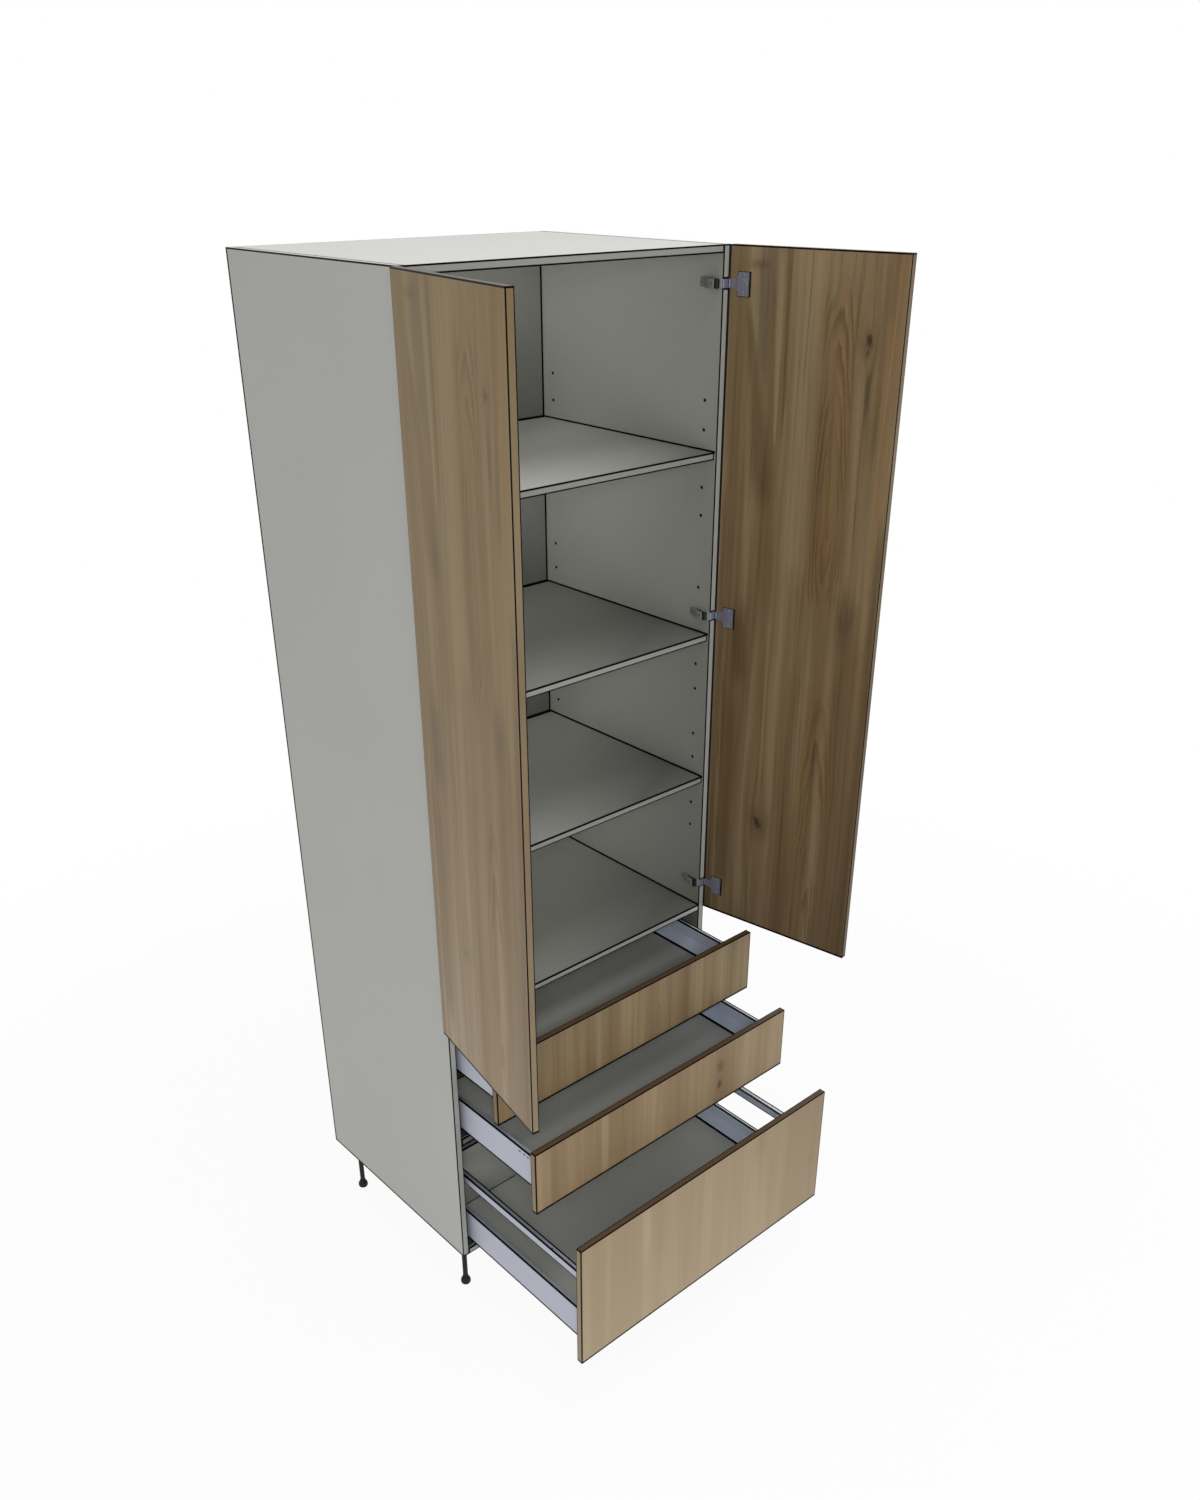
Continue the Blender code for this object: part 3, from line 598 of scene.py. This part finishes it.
zinc = {
    "light": paint(146, 149, 154),
    "dark": paint(112, 116, 123),
    "flakes": 90,
    "brush": (900, 12, 900),
    "brushDepth": 0.00002,
    "roughness": 0.36,
    "metallic": 0.75,
    "seamWidth": 0.0016,
}


def zincFinish(node, look=zinc):
    coat = Finish(node + "_zinc")
    flakes = coat.node("TexVoronoi", None, {"Vector": coat.point, "Scale": look["flakes"]})
    brush = coat.noise(look["brush"])
    colour = coat.mix(flakes * 0.6 + brush * 0.4, look["dark"], look["light"])
    line, colour = seamed(coat, colour, edgeDistance(coat, *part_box(node), (1, 1, 1)), look["seamWidth"])
    roughness = look["roughness"] + (brush - 0.5) * 0.2
    metallic = look["metallic"] + line * (1 - look["metallic"])
    return coat.close(colour, roughness, brush, look["brushDepth"], metallic)


fittings = {  # grain: changes a metre, detail, share of the tone, depth
    "nickelPlate": {"light": paint(139, 141, 156), "dark": paint(120, 122, 137), "roughness": 0.36,
                    "cloud": 60, "grain": ((60, 60, 1800), 2, 0.5, 0.00001), "metallic": 0.4, "gloss": 0.5},
    "castMetal": {"light": paint(138, 138, 135), "dark": paint(124, 124, 122), "roughness": 0.46,
                  "cloud": 45, "grain": (1100, 3, 0.3, 0.00003), "metallic": 0, "gloss": 0.5},
    "blackPlastic": {"light": paint(22, 22, 23), "dark": paint(11, 11, 12), "roughness": 0.44,
                     "cloud": 40, "grain": (1500, 2, 0, 0.00004), "metallic": 0, "gloss": 0.22},
}


def fittingFinish(name):
    look = fittings[name]
    stretch, detail, share, depth = look["grain"]
    coat = Finish(name)
    grain = coat.noise(stretch, detail)
    tone = coat.noise(look["cloud"]) * (1 - share) + grain * share
    colour = coat.mix(tone, look["dark"], look["light"])
    roughness = look["roughness"] + (grain - 0.5) * 0.2
    return coat.close(colour, roughness, grain, depth, look["metallic"], look["gloss"])


stripCoat = {  # nickel on the front edge, and the board's own colour on the side
    "metal": (paint(104, 106, 119), paint(120, 122, 136)),
    "board": (paint(160, 161, 156), paint(166, 167, 162)),
    "turn": (0.0008, 0.0018),  # where one turns into the other, behind the front edge
    "brush": (60, 60, 1800),
    "brushDepth": 0.00001,
    "roughness": 0.36,
    "metallic": 0.4,
}


def stripFinish(look=stripCoat):
    coat = Finish("stripMetal")
    x, y, z = coat.split(coat.point)
    onSide = coat.rise(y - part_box("right_side")[0].y, *look["turn"])
    brush = coat.noise(look["brush"])
    colour = coat.mix(onSide, coat.mix(brush, *look["metal"]), coat.mix(brush, *look["board"]))
    roughness = look["roughness"] + onSide * 0.16 + (brush - 0.5) * 0.1
    return coat.close(colour, roughness, brush, look["brushDepth"], (1 - onSide) * look["metallic"])


def dress(kind, *names):  # each node in a material of its own
    for name in names:
        nodes[name].data.materials.clear()
        nodes[name].data.materials.append(kind(name))


dress(laminateFinish, "left_side", "right_side", "top_panel", "bottom_panel", "back_panel", "stretcher_rail")
dress(laminateFinish, *shelves)
for drawer in drawers:
    dress(veneerFinish, f"{drawer}_drawer_front")
    dress(laminateFinish, f"{drawer}_drawer_bottom", f"{drawer}_drawer_back")
    for hand in hands:
        dress(coatedFinish, f"{drawer}_drawer_{hand}_side")
        dress(zincFinish, f"{drawer}_{hand}_runner", f"{drawer}_{hand}_slide")
for hand in hands:
    dress(veneerFinish, f"{hand}_door")
    dress(coatedFinish, f"{hand}_gallery_rail")
nickelPlate, castMetal, blackPlastic = [fittingFinish(name) for name in fittings]
stripMetal = stripFinish()
print("finishes done")


def circle(radius, sides):
    return [(radius * cos(2 * pi * i / sides), radius * sin(2 * pi * i / sides)) for i in range(sides)]


def rounded(corners, radius, steps=4, closed=True):  # an outline or a path, with its corners rounded
    points = []
    for i, corner in enumerate(corners):
        here = Vector(corner)
        if not closed and i in (0, len(corners) - 1):
            points.append(corner)
            continue
        back = Vector(corners[i - 1]) - here
        ahead = Vector(corners[(i + 1) % len(corners)]) - here
        reach = min(radius, back.length / 2, ahead.length / 2)
        start, end = here + back.normalized() * reach, here + ahead.normalized() * reach
        for k in range(steps + 1):
            t = k / steps
            points.append(tuple(start * (1 - t) ** 2 + here * 2 * t * (1 - t) + end * t * t))
    return points


def block(startU, endU, startV, endV):
    return [(startU, startV), (endU, startV), (endU, endV), (startU, endV)]


def plate(width, height, radius):  # a rectangle about the middle, with round corners
    return rounded(block(-width / 2, width / 2, -height / 2, height / 2), radius)


def cap(work, outline, level, put, holes=()):
    loops = [outline, *holes]
    verts = [work.verts.new(put(u, v, level)) for loop in loops for u, v in loop]
    for corners in tessellate_polygon([[Vector((u, v, 0)) for u, v in loop] for loop in loops]):
        work.faces.new([verts[i] for i in corners])


def skin(work, rings):  # faces from each ring of corners to the next
    for below, above in zip(rings, rings[1:]):
        for i in range(len(below)):
            work.faces.new(list(dict.fromkeys((below[i - 1], below[i], above[i], above[i - 1]))))


def wall(work, outline, start, end, put):
    skin(work, [[work.verts.new(put(u, v, level)) for u, v in outline] for level in (start, end)])


def prism(work, outline, start, end, put, holes=()):
    cap(work, outline, start, put, holes)
    cap(work, outline, end, put, holes)
    for loop in (outline, *holes):
        wall(work, loop, start, end, put)


def pole(work, put, height, sides):
    return [work.verts.new(put(0, 0, height))] * sides


def turned(work, profile, sides, put, ribs=0):  # radius and height pairs, turned; ribs as a share
    rings = []
    for radius, height in profile:
        if radius == 0:
            rings.append(pole(work, put, height, sides))
            continue
        reach = [radius * (1 - ribs * (i // 2 % 2)) for i in range(sides)]
        ways = [2 * pi * i / sides for i in range(sides)]
        rings.append([work.verts.new(put(r * cos(a), r * sin(a), height)) for r, a in zip(reach, ways)])
    skin(work, rings)


def along(path, reach, across, depth):  # a point of a blank, bent along a path
    for i, (start, end) in enumerate(zip(path, path[1:])):
        step = Vector(end) - Vector(start)
        if reach <= step.length or i == len(path) - 2:
            break
        reach -= step.length
    ways = [Vector(b) - Vector(a) for a, b in zip(path, path[1:])]
    normals = [Vector((-way.y, way.x)).normalized() for way in ways]
    before = (normals[i] + normals[max(i - 1, 0)]).normalized()
    after = (normals[i] + normals[min(i + 1, len(normals) - 1)]).normalized()
    share = reach / step.length
    spot = Vector(path[i]) + step * share + before.lerp(after, min(max(share, 0), 1)) * depth
    return spot.x, spot.y, across


def pathLength(path):
    return sum((Vector(b) - Vector(a)).length for a, b in zip(path, path[1:]))


def meshOf(work, name):
    mesh = bpy.data.meshes.new(name)
    work.to_mesh(mesh)
    work.free()
    return mesh


def shown(name, data):  # a new object in the scene
    made = bpy.data.objects.new(name, data)
    bpy.context.scene.collection.objects.link(made)
    return made


def bentSheet(work, outline, thickness, path, put, holes=()):  # a flat blank, cut out and then bent
    blank = bmesh.new()
    prism(blank, outline, 0, thickness, lambda u, v, w: Vector((u, v, w)), holes)
    bmesh.ops.remove_doubles(blank, verts=blank.verts, dist=0.001)
    for i in range(2, len(path)):
        parts = blank.verts[:] + blank.edges[:] + blank.faces[:]
        fold = (pathLength(path[:i]), 0, 0)
        bmesh.ops.bisect_plane(blank, geom=parts, dist=0.0001, plane_co=fold, plane_no=(1, 0, 0))
    for vert in blank.verts:
        vert.co = put(*along(path, *vert.co))
    mesh = meshOf(blank, "blank")
    work.from_mesh(mesh)
    bpy.data.meshes.remove(mesh)


def screw(work, radius, put):  # pan head with a cross recess, standing on its own w = 0
    tall, flat = radius * 0.42, radius * 0.7
    profile = ((radius, 0), (radius * 0.98, tall * 0.4), (radius * 0.86, tall * 0.85), (flat, tall))
    turned(work, profile, 20, put)
    arm, half = radius * 0.55, radius * 0.14
    cross = []
    for c, s in ((1, 0), (0, 1), (-1, 0), (0, -1)):
        cross += [(u * c - v * s, u * s + v * c) for u, v in ((arm, -half), (arm, half), (half, half))]
    cap(work, circle(flat, 20), tall, put, [cross])
    wall(work, cross, tall, tall * 0.3, put)
    cap(work, cross, tall * 0.3, put)


def piece(name, work, material, body="cabinet", bevel=0, replaced=()):
    bmesh.ops.remove_doubles(work, verts=work.verts, dist=0.000002)
    bmesh.ops.recalc_face_normals(work, faces=work.faces)
    mesh = meshOf(work, name)
    mesh.materials.append(material)
    mesh.shade_smooth()
    mesh.set_sharp_from_angle(angle=radians(38))
    made = shown(name, mesh)
    if bevel:
        soft = made.modifiers.new("round", "BEVEL")
        soft.width = bevel * mm
        soft.segments = 2
        soft.limit_method = "ANGLE"
        soft.angle_limit = radians(40)
        soft.harden_normals = True
    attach(made, body)
    if replaced:
        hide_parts(*replaced)


hinge = {  # mm, from the pivot: x outwards, y into the cabinet, z up, with the door closed
    "half": 8.5,  # half the height of arm and strap
    "edge": 3.2,  # back of the strip that crosses the carcass edge
    "panel": -15.84,  # where the arm lies on the side panel
    "strip": (1.4, 27, 2.2, 3),  # thickness, far end, bend, corner
    "knuckle": (2.6, 4.5, 0.3),  # radius, half height of the moving one, play
    "sheet": 1.1,
    "armPath": ((-25.4, 17.6), (-28.4, 17.6), (-28.4, 27), (-26.8, 37), (-17.9, 57), (-17, 65.3)),
    "slot": (11.5, 9, 4.6),  # middle, length and width
    "screwReach": 12.6,
    "dot": (4.6, 1.9),  # from the end, radius
    "plate": (25.5, 55.5, 10.5, 2.4),  # start, end, half height, thickness
    "barrel": (-24.5, 13.4, 5.7, 9.6),  # x, y, radius, half height
    "core": ((-17.4, 11.4), (-22.4, 9.6), (-27.2, 17), (-27.2, 27), (-25.6, 36.6), (-18.2, 53),
             (-17.4, 53)),
    "coreHalf": 7.3,
    "skirt": 2.2,
    "leafPath": ((-3.2, 1.45), (-15.6, 1.45), (-18.2, 2.95), (-47.04, 2.95)),
    "leafThickness": 1.2,
    "shoulder": (14.4, 18.3),  # where the strap widens to the flange, along the leaf
    "strapHalf": 10.7,
    "flangeHalf": 22.5,
    "armScrew": 2.3,  # radius
    "flangeScrew": (2.9, 17.2),  # radius, height
    "cup": (-33.54, 12.8, 10.6),  # x, radius, depth in the door
    "gasketStart": -20.6,
    "gasketRim": (4.4, 1.2),  # beyond the far edge, and above and below
    "tab": (7.5, 3.3),  # half height of the lever at the far edge, and how far it stands off
    "liningHalf": 12.2,  # half height of the black lining behind the strip
    "bevel": 0.22,
}


def hingePut(hand, level, onDoor):
    side = hands[hand]
    pivot, closing = doorTurn(hand + "_door")
    low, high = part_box(f"{hand}_hinge_leaf_{level}")
    base = Vector((pivot.x, pivot.y, (low.z + high.z) / 2))
    turn = Matrix.Rotation(-closing if onDoor else 0, 3, "Z")
    return lambda x, y, z: base + turn @ Vector((side * x, y, z)) * mm


def knuckle(work, low, high, put, radius):
    narrow = radius - 0.3
    profile = ((0, low), (narrow, low), (radius, low + 0.3), (radius, high - 0.3), (narrow, high), (0, high))
    turned(work, profile, 20, put)


def hingeArm(hand, level, look=hinge):
    put = hingePut(hand, level, False)
    flat = lambda u, v, w: put(u, w, v)  # outline in x and z
    section = lambda u, v, w: put(u, v, w)  # outline in x and y
    onPanel = lambda u, v, w: put(look["panel"] - w, u, v)
    half, edge, panel = look["half"], look["edge"], look["panel"]
    thick, far, bend, cut = look["strip"]
    radius, movingHalf, play = look["knuckle"]
    clear = movingHalf + play
    work = bmesh.new()
    strip = rounded(((0, edge), (panel, edge), (panel, far)), bend, closed=False)
    reach = pathLength(strip)
    blank = [(0, -half), (reach - cut, -half), (reach, cut - half), (reach, half - cut), (reach - cut, half),
             (0, half), (0, clear), (3, clear), (3, -clear), (0, -clear)]
    bentSheet(work, blank, thick, strip, put)
    for low, high in ((clear, half), (-half, -clear)):
        knuckle(work, low, high, put, radius)
    piece(f"{hand}_hinge_strip_{level}", work, stripMetal, "cabinet", look["bevel"])

    work = bmesh.new()
    start, end, plateHalf, thick = look["plate"]
    middle = (start + end) / 2
    prism(work, [(u + middle, v) for u, v in plate(end - start, 2 * plateHalf, 3)], 0.05, thick, onPanel)
    arm = rounded(look["armPath"], 3, closed=False)
    reach = pathLength(arm)
    place, length, width = look["slot"]
    hole = [(u + place, v) for u, v in plate(length, width, width / 2)]
    fromEnd, radius = look["dot"]
    dot = [(u + reach - fromEnd, v) for u, v in circle(radius, 16)]
    bentSheet(work, rounded(block(0, reach, -half, half), 1.6), look["sheet"], arm, put, [hole, dot])
    screw(work, look["armScrew"], lambda a, b, c: put(*along(arm, look["screwReach"] + a, b, 0.2 + c)))
    for low, high in ((half - 1, half), (-half, 1 - half)):  # skirts that stiffen the arm
        outer = [along(arm, reach * i / 24, 0, 0.1)[:2] for i in range(2, 22)]
        inner = [along(arm, reach * i / 24, 0, -look["skirt"])[:2] for i in range(21, 1, -1)]
        prism(work, outer + inner, low, high, section)
    piece(f"{hand}_hinge_plate_{level}", work, castMetal, "cabinet", look["bevel"],
          [f"{hand}_hinge_arm_{level}"])

    work = bmesh.new()
    prism(work, rounded(look["core"], 1.5), -look["coreHalf"], look["coreHalf"], section)
    x, y, radius, tall = look["barrel"]
    ends = [(0, -tall), (radius * 0.45, -tall), (radius * 0.5, -tall + 0.6), (radius * 0.8, -tall + 0.6),
            (radius, -tall + 1.6), (radius, -tall + 4), (radius * 0.94, -tall + 4.4)]
    profile = ends + [(r, -h) for r, h in reversed(ends)]
    turned(work, profile, 28, lambda a, b, c: put(x + a, y + b, c))
    turned(work, ((0, 0.2), (2, 0.2), (2, 0.7), (1.2, 1.1), (0, 1.1)), 18,
           lambda a, b, c: put(*along(arm, reach - fromEnd + a, b, c - 0.2)))
    tall, behind = look["liningHalf"], panel - 0.3
    prism(work, rounded(block(behind, -0.9, -tall, tall), 1), edge, edge + 0.28, flat)
    for turn in (1, -1):  # caps on the pin
        turned(work, ((0, 9.75), (1.9, 9.7), (2.7, 9.2), (2.7, half), (0, half)), 20,
               lambda a, b, c, turn=turn: put(a, b, c * turn))
    piece(f"{hand}_hinge_damper_{level}", work, blackPlastic, "cabinet", 0.25)


def hingeLeaf(hand, level, look=hinge):
    put = hingePut(hand, level, True)
    flat = lambda u, v, w: put(u, w, v)
    half, tall = look["half"], look["flangeHalf"]
    leaf = rounded(look["leafPath"], 1.2, closed=False)
    reach = pathLength(leaf)
    near, far = look["shoulder"]
    strap = look["strapHalf"]
    work = bmesh.new()
    upper = [(0, half), (near, strap), (far, strap + far - near), (far, tall), (reach, tall)]
    lower = [(u, -v) for u, v in reversed(upper)]
    blank = rounded(upper + lower, 1.8)
    bentSheet(work, blank, look["leafThickness"], leaf, put)
    radius, movingHalf, play = look["knuckle"]
    knuckle(work, -movingHalf, movingHalf, put, radius)
    prism(work, block(-5, 0, -4.5, 4.5), -0.1, 1.45, flat)
    middle = (far + reach) / 2
    turned(work, ((9.6, -0.1), (9, 0.32), (7.6, 0.38), (0, 0.38)), 40,  # pressed round of the cup
           lambda a, b, c: put(*along(leaf, middle + a, b, -c)))
    radius, height = look["flangeScrew"]
    for v in (height, -height):
        screw(work, radius, lambda a, b, c, v=v: put(*along(leaf, middle + a, v + b, 0.35 - c)))
    x, wide, deep = look["cup"]
    turned(work, ((0, 1.6), (wide, 1.6), (wide, 1 - deep), (wide - 1.2, -deep), (0, -deep)), 36,
           lambda a, b, c: put(x + a, c, b))
    piece(f"{hand}_hinge_flange_{level}", work, nickelPlate, f"{hand}_door", 0.2,
          [f"{hand}_hinge_leaf_{level}"])

    work = bmesh.new()
    beyond, rim = look["gasketRim"]
    start, end = look["gasketStart"] + rim, look["leafPath"][-1][0] - beyond
    prism(work, rounded(block(start, end, -tall - rim, tall + rim), 1.6), 1.52, 1.86, flat)
    tabHalf, proud = look["tab"]
    prism(work, rounded(block(end + 3.2, end, -tabHalf, tabHalf), 1), 1.6, proud, flat)
    for turn in (1, -1):
        foot = block(end + 2.6, end, tall - 3.2, tall)
        prism(work, rounded([(u, turn * v) for u, v in foot], 0.8), 1.6, proud - 0.4, flat)
    piece(f"{hand}_hinge_gasket_{level}", work, blackPlastic, f"{hand}_door", 0.2)


for hand in hands:
    for level in levels:
        hingeArm(hand, level)
        hingeLeaf(hand, level)
print("hinges done")


bumper = {  # mm: the strip that seals a door's hinge edge, from the corner of the carcass
    "inward": 1.4,
    "proud": 4.1,
    "sunk": 0.3,
    "gapHalf": 9.85,  # clear of each hinge
}


def buildBumper(hand, look=bumper):
    side = hands[hand]
    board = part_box(hand + "_side")
    doorLow, doorHigh = closedBox(hand + "_door")
    corner = board[1].x if side > 0 else -board[0].x
    flat = lambda u, v, w: Vector((side * (corner - u * mm), board[0].y - v * mm, w))
    outline = rounded(block(0, look["inward"], -look["sunk"], look["proud"]), 0.5)
    stops = [doorLow.z]
    for level in reversed(levels):
        low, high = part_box(f"{hand}_hinge_leaf_{level}")
        middle = (low.z + high.z) / 2
        stops += [middle - look["gapHalf"] * mm, middle + look["gapHalf"] * mm]
    stops.append(doorHigh.z)
    work = bmesh.new()
    for low, high in zip(stops[::2], stops[1::2]):
        prism(work, outline, low, high, flat)
    piece(f"{hand}_side_bumper", work, blackPlastic)


socket = {  # mm: black sleeves on the pins and black cups in the spare holes; the cups and the rings at the sleeves' feet are painted shade in the holes
    "sleeve": (2.5, 2.74, 8.4),  # inner and outer radius, reach
    "cup": (1.9, 2.45, 3.9, 9.4),  # bore, outside, rim and depth
    "columns": (40, 540),  # from the front of the carcass
    "belowShelf": 18.8,
    "pitch": 61,
}


def buildSocketsAndHoleShade(hand, look=socket):
    side = hands[hand]
    low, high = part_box(hand + "_side")
    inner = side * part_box("fixed_shelf")[1].x + side * 0.3 * mm
    bore, outside, rim, depth = look["cup"]
    inside, sleeve, reach = look["sleeve"]
    foot = 0.8 - depth
    cup = ((0, -depth), (outside, -depth), (outside, 0.02), (rim, 0.02), (rim - 0.2, 0.3), (bore + 0.3, 0.3),
           (bore, 0), (bore, foot), (0, foot))
    tube = ((0, reach), (inside - 0.4, reach), (sleeve, reach - 0.4), (sleeve, 0.5), (sleeve + 0.5, 0.02),
            (0, 0.02))
    work = bmesh.new()
    for shelf in shelves[1:]:
        for column in look["columns"]:
            y = low.y + column * mm
            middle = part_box(shelf)[1].z - look["belowShelf"] * mm
            for step in (-2, -1, 0, 1, 2):
                z = middle + step * look["pitch"] * mm
                put = lambda a, b, c: Vector((inner - side * c * mm, y + a * mm, z + b * mm))
                # the cups, and the sleeves' foot rings, paint the shade in the holes
                turned(work, cup if step else tube, 20, put)
    piece(f"{hand}_side_sockets_hole_shade", work, blackPlastic)


marks = {  # mm: thin black plates on the middle drawer's sides, painted shade where slots are punched, and a stud in the bottom drawer's rims
    "slots": (42.8, 55.7, 71.6),  # from the back of the front
    "slotSize": (9, 3),
    "slotDepth": 10.7,  # below the rim
    "stud": (1.7, 117, 5),  # radius, from the back of the front, from the outside
}


def buildMarks(hand, look=marks):
    side = hands[hand]
    low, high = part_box(f"middle_drawer_{hand}_side")
    outer = high.x if side > 0 else -low.x
    work = bmesh.new()
    for reach in look["slots"]:
        outline = plate(*look["slotSize"], look["slotSize"][1] / 2)
        # painted shade of the slots
        prism(work, outline, -0.02, 0.16, lambda u, v, w: Vector((
            side * (outer + w * mm), low.y + (reach + u) * mm, high.z - (look["slotDepth"] - v) * mm)))
    piece(f"middle_drawer_{hand}_slots", work, blackPlastic, "middle_drawer")
    low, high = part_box(f"bottom_drawer_{hand}_side")
    outer = high.x if side > 0 else -low.x
    radius, reach, inward = look["stud"]
    work = bmesh.new()
    middle = Vector((side * (outer - inward * mm), low.y + reach * mm, high.z))
    turned(work, ((0, -0.02), (radius, -0.02), (radius, 0.2), (radius * 0.7, 0.5), (0, 0.5)), 20,
           lambda a, b, c: middle + Vector((a, b, c)) * mm)
    piece(f"bottom_drawer_{hand}_stud", work, blackPlastic, "bottom_drawer")


for hand in hands:
    buildBumper(hand)
    buildSocketsAndHoleShade(hand)
    buildMarks(hand)
print("bumpers, sockets and marks done")


leg = {  # mm
    "footWide": 12.5,
    "thread": (6.4, 0.6, 3),  # radius, depth, pitch
    "threadSides": 20,
    "stepsEachTurn": 5,
    "ribs": 0.06,  # depth of the socket's ribs, as a share of its radius
    "socket": (12, 115.7),  # radius, foot
    "flange": (30, 145.7),
    "top": 149.7,
    "screw": (3.1, 21.5),  # radius, distance from the middle
}


def buildLeg(node, look=leg):
    low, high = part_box(node)
    x, y = (low.x + high.x) / 2, (low.y + high.y) / 2
    put = lambda a, b, c: Vector((x + a * mm, y + b * mm, c * mm))
    work = bmesh.new()
    wide = look["footWide"]
    turned(work, ((0, 0), (wide - 2.6, 0), (wide - 1.2, 0.5), (wide - 0.9, 1.6), (wide - 1.2, 2),
                  (wide - 0.2, 2.5), (wide, 4), (wide, 7.6), (wide - 0.5, 10.6), (wide - 1.8, 13.4),
                  (wide - 3.8, 16), (wide - 5.4, 17.6), (8, 19), (7.5, 20.4), (7.5, 21.4), (0, 21.4)),
           40, put)
    (wide, base), (flange, top) = look["socket"], look["flange"]
    turned(work, ((0, base - 9), (7.6, base - 9), (8, base - 8), (8, base - 1.5), (9.2, base)), 12, put)
    turned(work, ((9.2, base), (10.4, base), (11.4, base + 1.2), (wide, base + 5), (wide, top - 3)),
           48, put, look["ribs"])
    turned(work, ((wide, top - 3), (wide + 0.6, top - 1.4), (wide + 2.4, top - 0.4), (flange - 5.4, top),
                  (flange - 5, top - 0.7), (flange - 0.8, top - 0.7), (flange, top), (flange, look["top"]),
                  (0, look["top"])), 48, put)
    radius, distance = look["screw"]
    for quarter in range(4):
        angle = pi / 4 + quarter * pi / 2
        u, v = distance * cos(angle), distance * sin(angle)
        screw(work, radius, lambda a, b, c, u=u, v=v: put(u + a, v + b, top - 0.1 - c))
    piece(node + "_socket_and_foot", work, blackPlastic, replaced=[node])

    work = bmesh.new()
    start, end = 21, base - 8.5
    (wide, depth, pitch), sides = look["thread"], look["threadSides"]
    rows = int((end - start) / pitch * look["stepsEachTurn"])
    rings = [pole(work, put, start, sides)]
    for row in range(rows + 1):
        height = start + (end - start) * row / rows
        rings.append([])
        for i in range(sides):
            phase = (height / pitch - i / sides) % 1
            radius = wide - depth * abs(2 * phase - 1)
            angle = 2 * pi * i / sides
            rings[-1].append(work.verts.new(put(radius * cos(angle), radius * sin(angle), height)))
    rings.append(pole(work, put, end, sides))
    skin(work, rings)
    piece(node + "_thread", work, blackPlastic)


for hand in hands:
    for end in ("front", "back"):
        buildLeg(f"leg_{end}_{hand}")
print("legs done")


stageLook = {
    "floorSize": 30,
    "floorColour": paint(236, 236, 234),
    "whiteShare": 0.93,
    "fade": (1.2, 3),  # from the middle, where the floor turns plain white
    "ambient": 0.56,
    "sky": paint(255, 255, 255),
}


def buildFloor(look=stageLook):
    coat = Finish("paleFloor")
    matte = coat.mix(coat.noise(3) * 0.04, look["floorColour"], paint(220, 220, 218))
    diffuse = coat.node("BsdfDiffuse", None, {"Color": matte})
    white = coat.node("Emission", None, {"Color": look["sky"], "Strength": 1})
    seen = coat.ray("Camera").above(coat.ray("Glossy")).above(coat.ray("Transmission"))
    far = coat.rise(coat.vector("LENGTH", coat.point, out=1), *look["fade"])
    share = seen * (look["whiteShare"] + far * (1 - look["whiteShare"]))
    coat.show(coat.node("MixShader", None, {0: share, 1: diffuse, 2: white}))
    work = bmesh.new()
    bmesh.ops.create_grid(work, x_segments=1, y_segments=1, size=look["floorSize"] / 2)
    floor = shown("floor", meshOf(work, "floor"))
    floor.data.materials.append(coat.material)


def buildWorld(look=stageLook):
    world = bpy.data.worlds.new("studio")
    bpy.context.scene.world = world
    sky = Finish("studio", world)
    light = sky.node("Background", None, {"Color": look["sky"], "Strength": look["ambient"]})
    white = sky.node("Background", None, {"Color": look["sky"], "Strength": 1})
    seen = sky.ray("Camera").above(sky.ray("Glossy"))
    sky.show(sky.node("MixShader", None, {0: seen, 1: light, 2: white}))


lamps = {  # place, aim, size and power
    "overhead": ((0.2, -0.6, 5.6), (0, 0.2, 1.2), 3.4, 88),
    "window": ((-3, -3.6, 0.9), (0, -0.1, 0.9), 1.8, 28),
    "front": ((0.8, -3.4, 0.6), (0.1, -0.3, 0.4), 1.2, 26),
    "viewer": ((-1.85, -2.2, 2.65), (0, -0.1, 1.2), 0.6, 12),
}


def buildLamps():
    for name, (place, aim, size, power) in lamps.items():
        data = bpy.data.lights.new(name, "AREA")
        data.shape = "DISK"
        data.size = size
        data.energy = power
        lamp = shown(name, data)
        lamp.location = place
        lamp.rotation_euler = (Vector(aim) - Vector(place)).to_track_quat("-Z", "Y").to_euler()


cameraLook = {
    "place": (-1.72521, -2.052, 2.54282),
    "heading": 0.7351,  # from +Y towards +X
    "dip": 0.4937,
    "roll": -0.0008,
    "lens": 31.613,
    "shift": (-0.00405, 0.0673),
}


def buildCamera(look=cameraLook):
    data = bpy.data.cameras.new("camera")
    data.lens = look["lens"]
    data.shift_x, data.shift_y = look["shift"]
    camera = shown("camera", data)
    camera.location = look["place"]
    camera.rotation_euler = (pi / 2 - look["dip"], look["roll"], -look["heading"])
    bpy.context.scene.camera = camera


buildFloor()
buildWorld()
buildLamps()
buildCamera()
bpy.context.scene.view_settings.view_transform = "Standard"
print("stage, lamps and camera done")
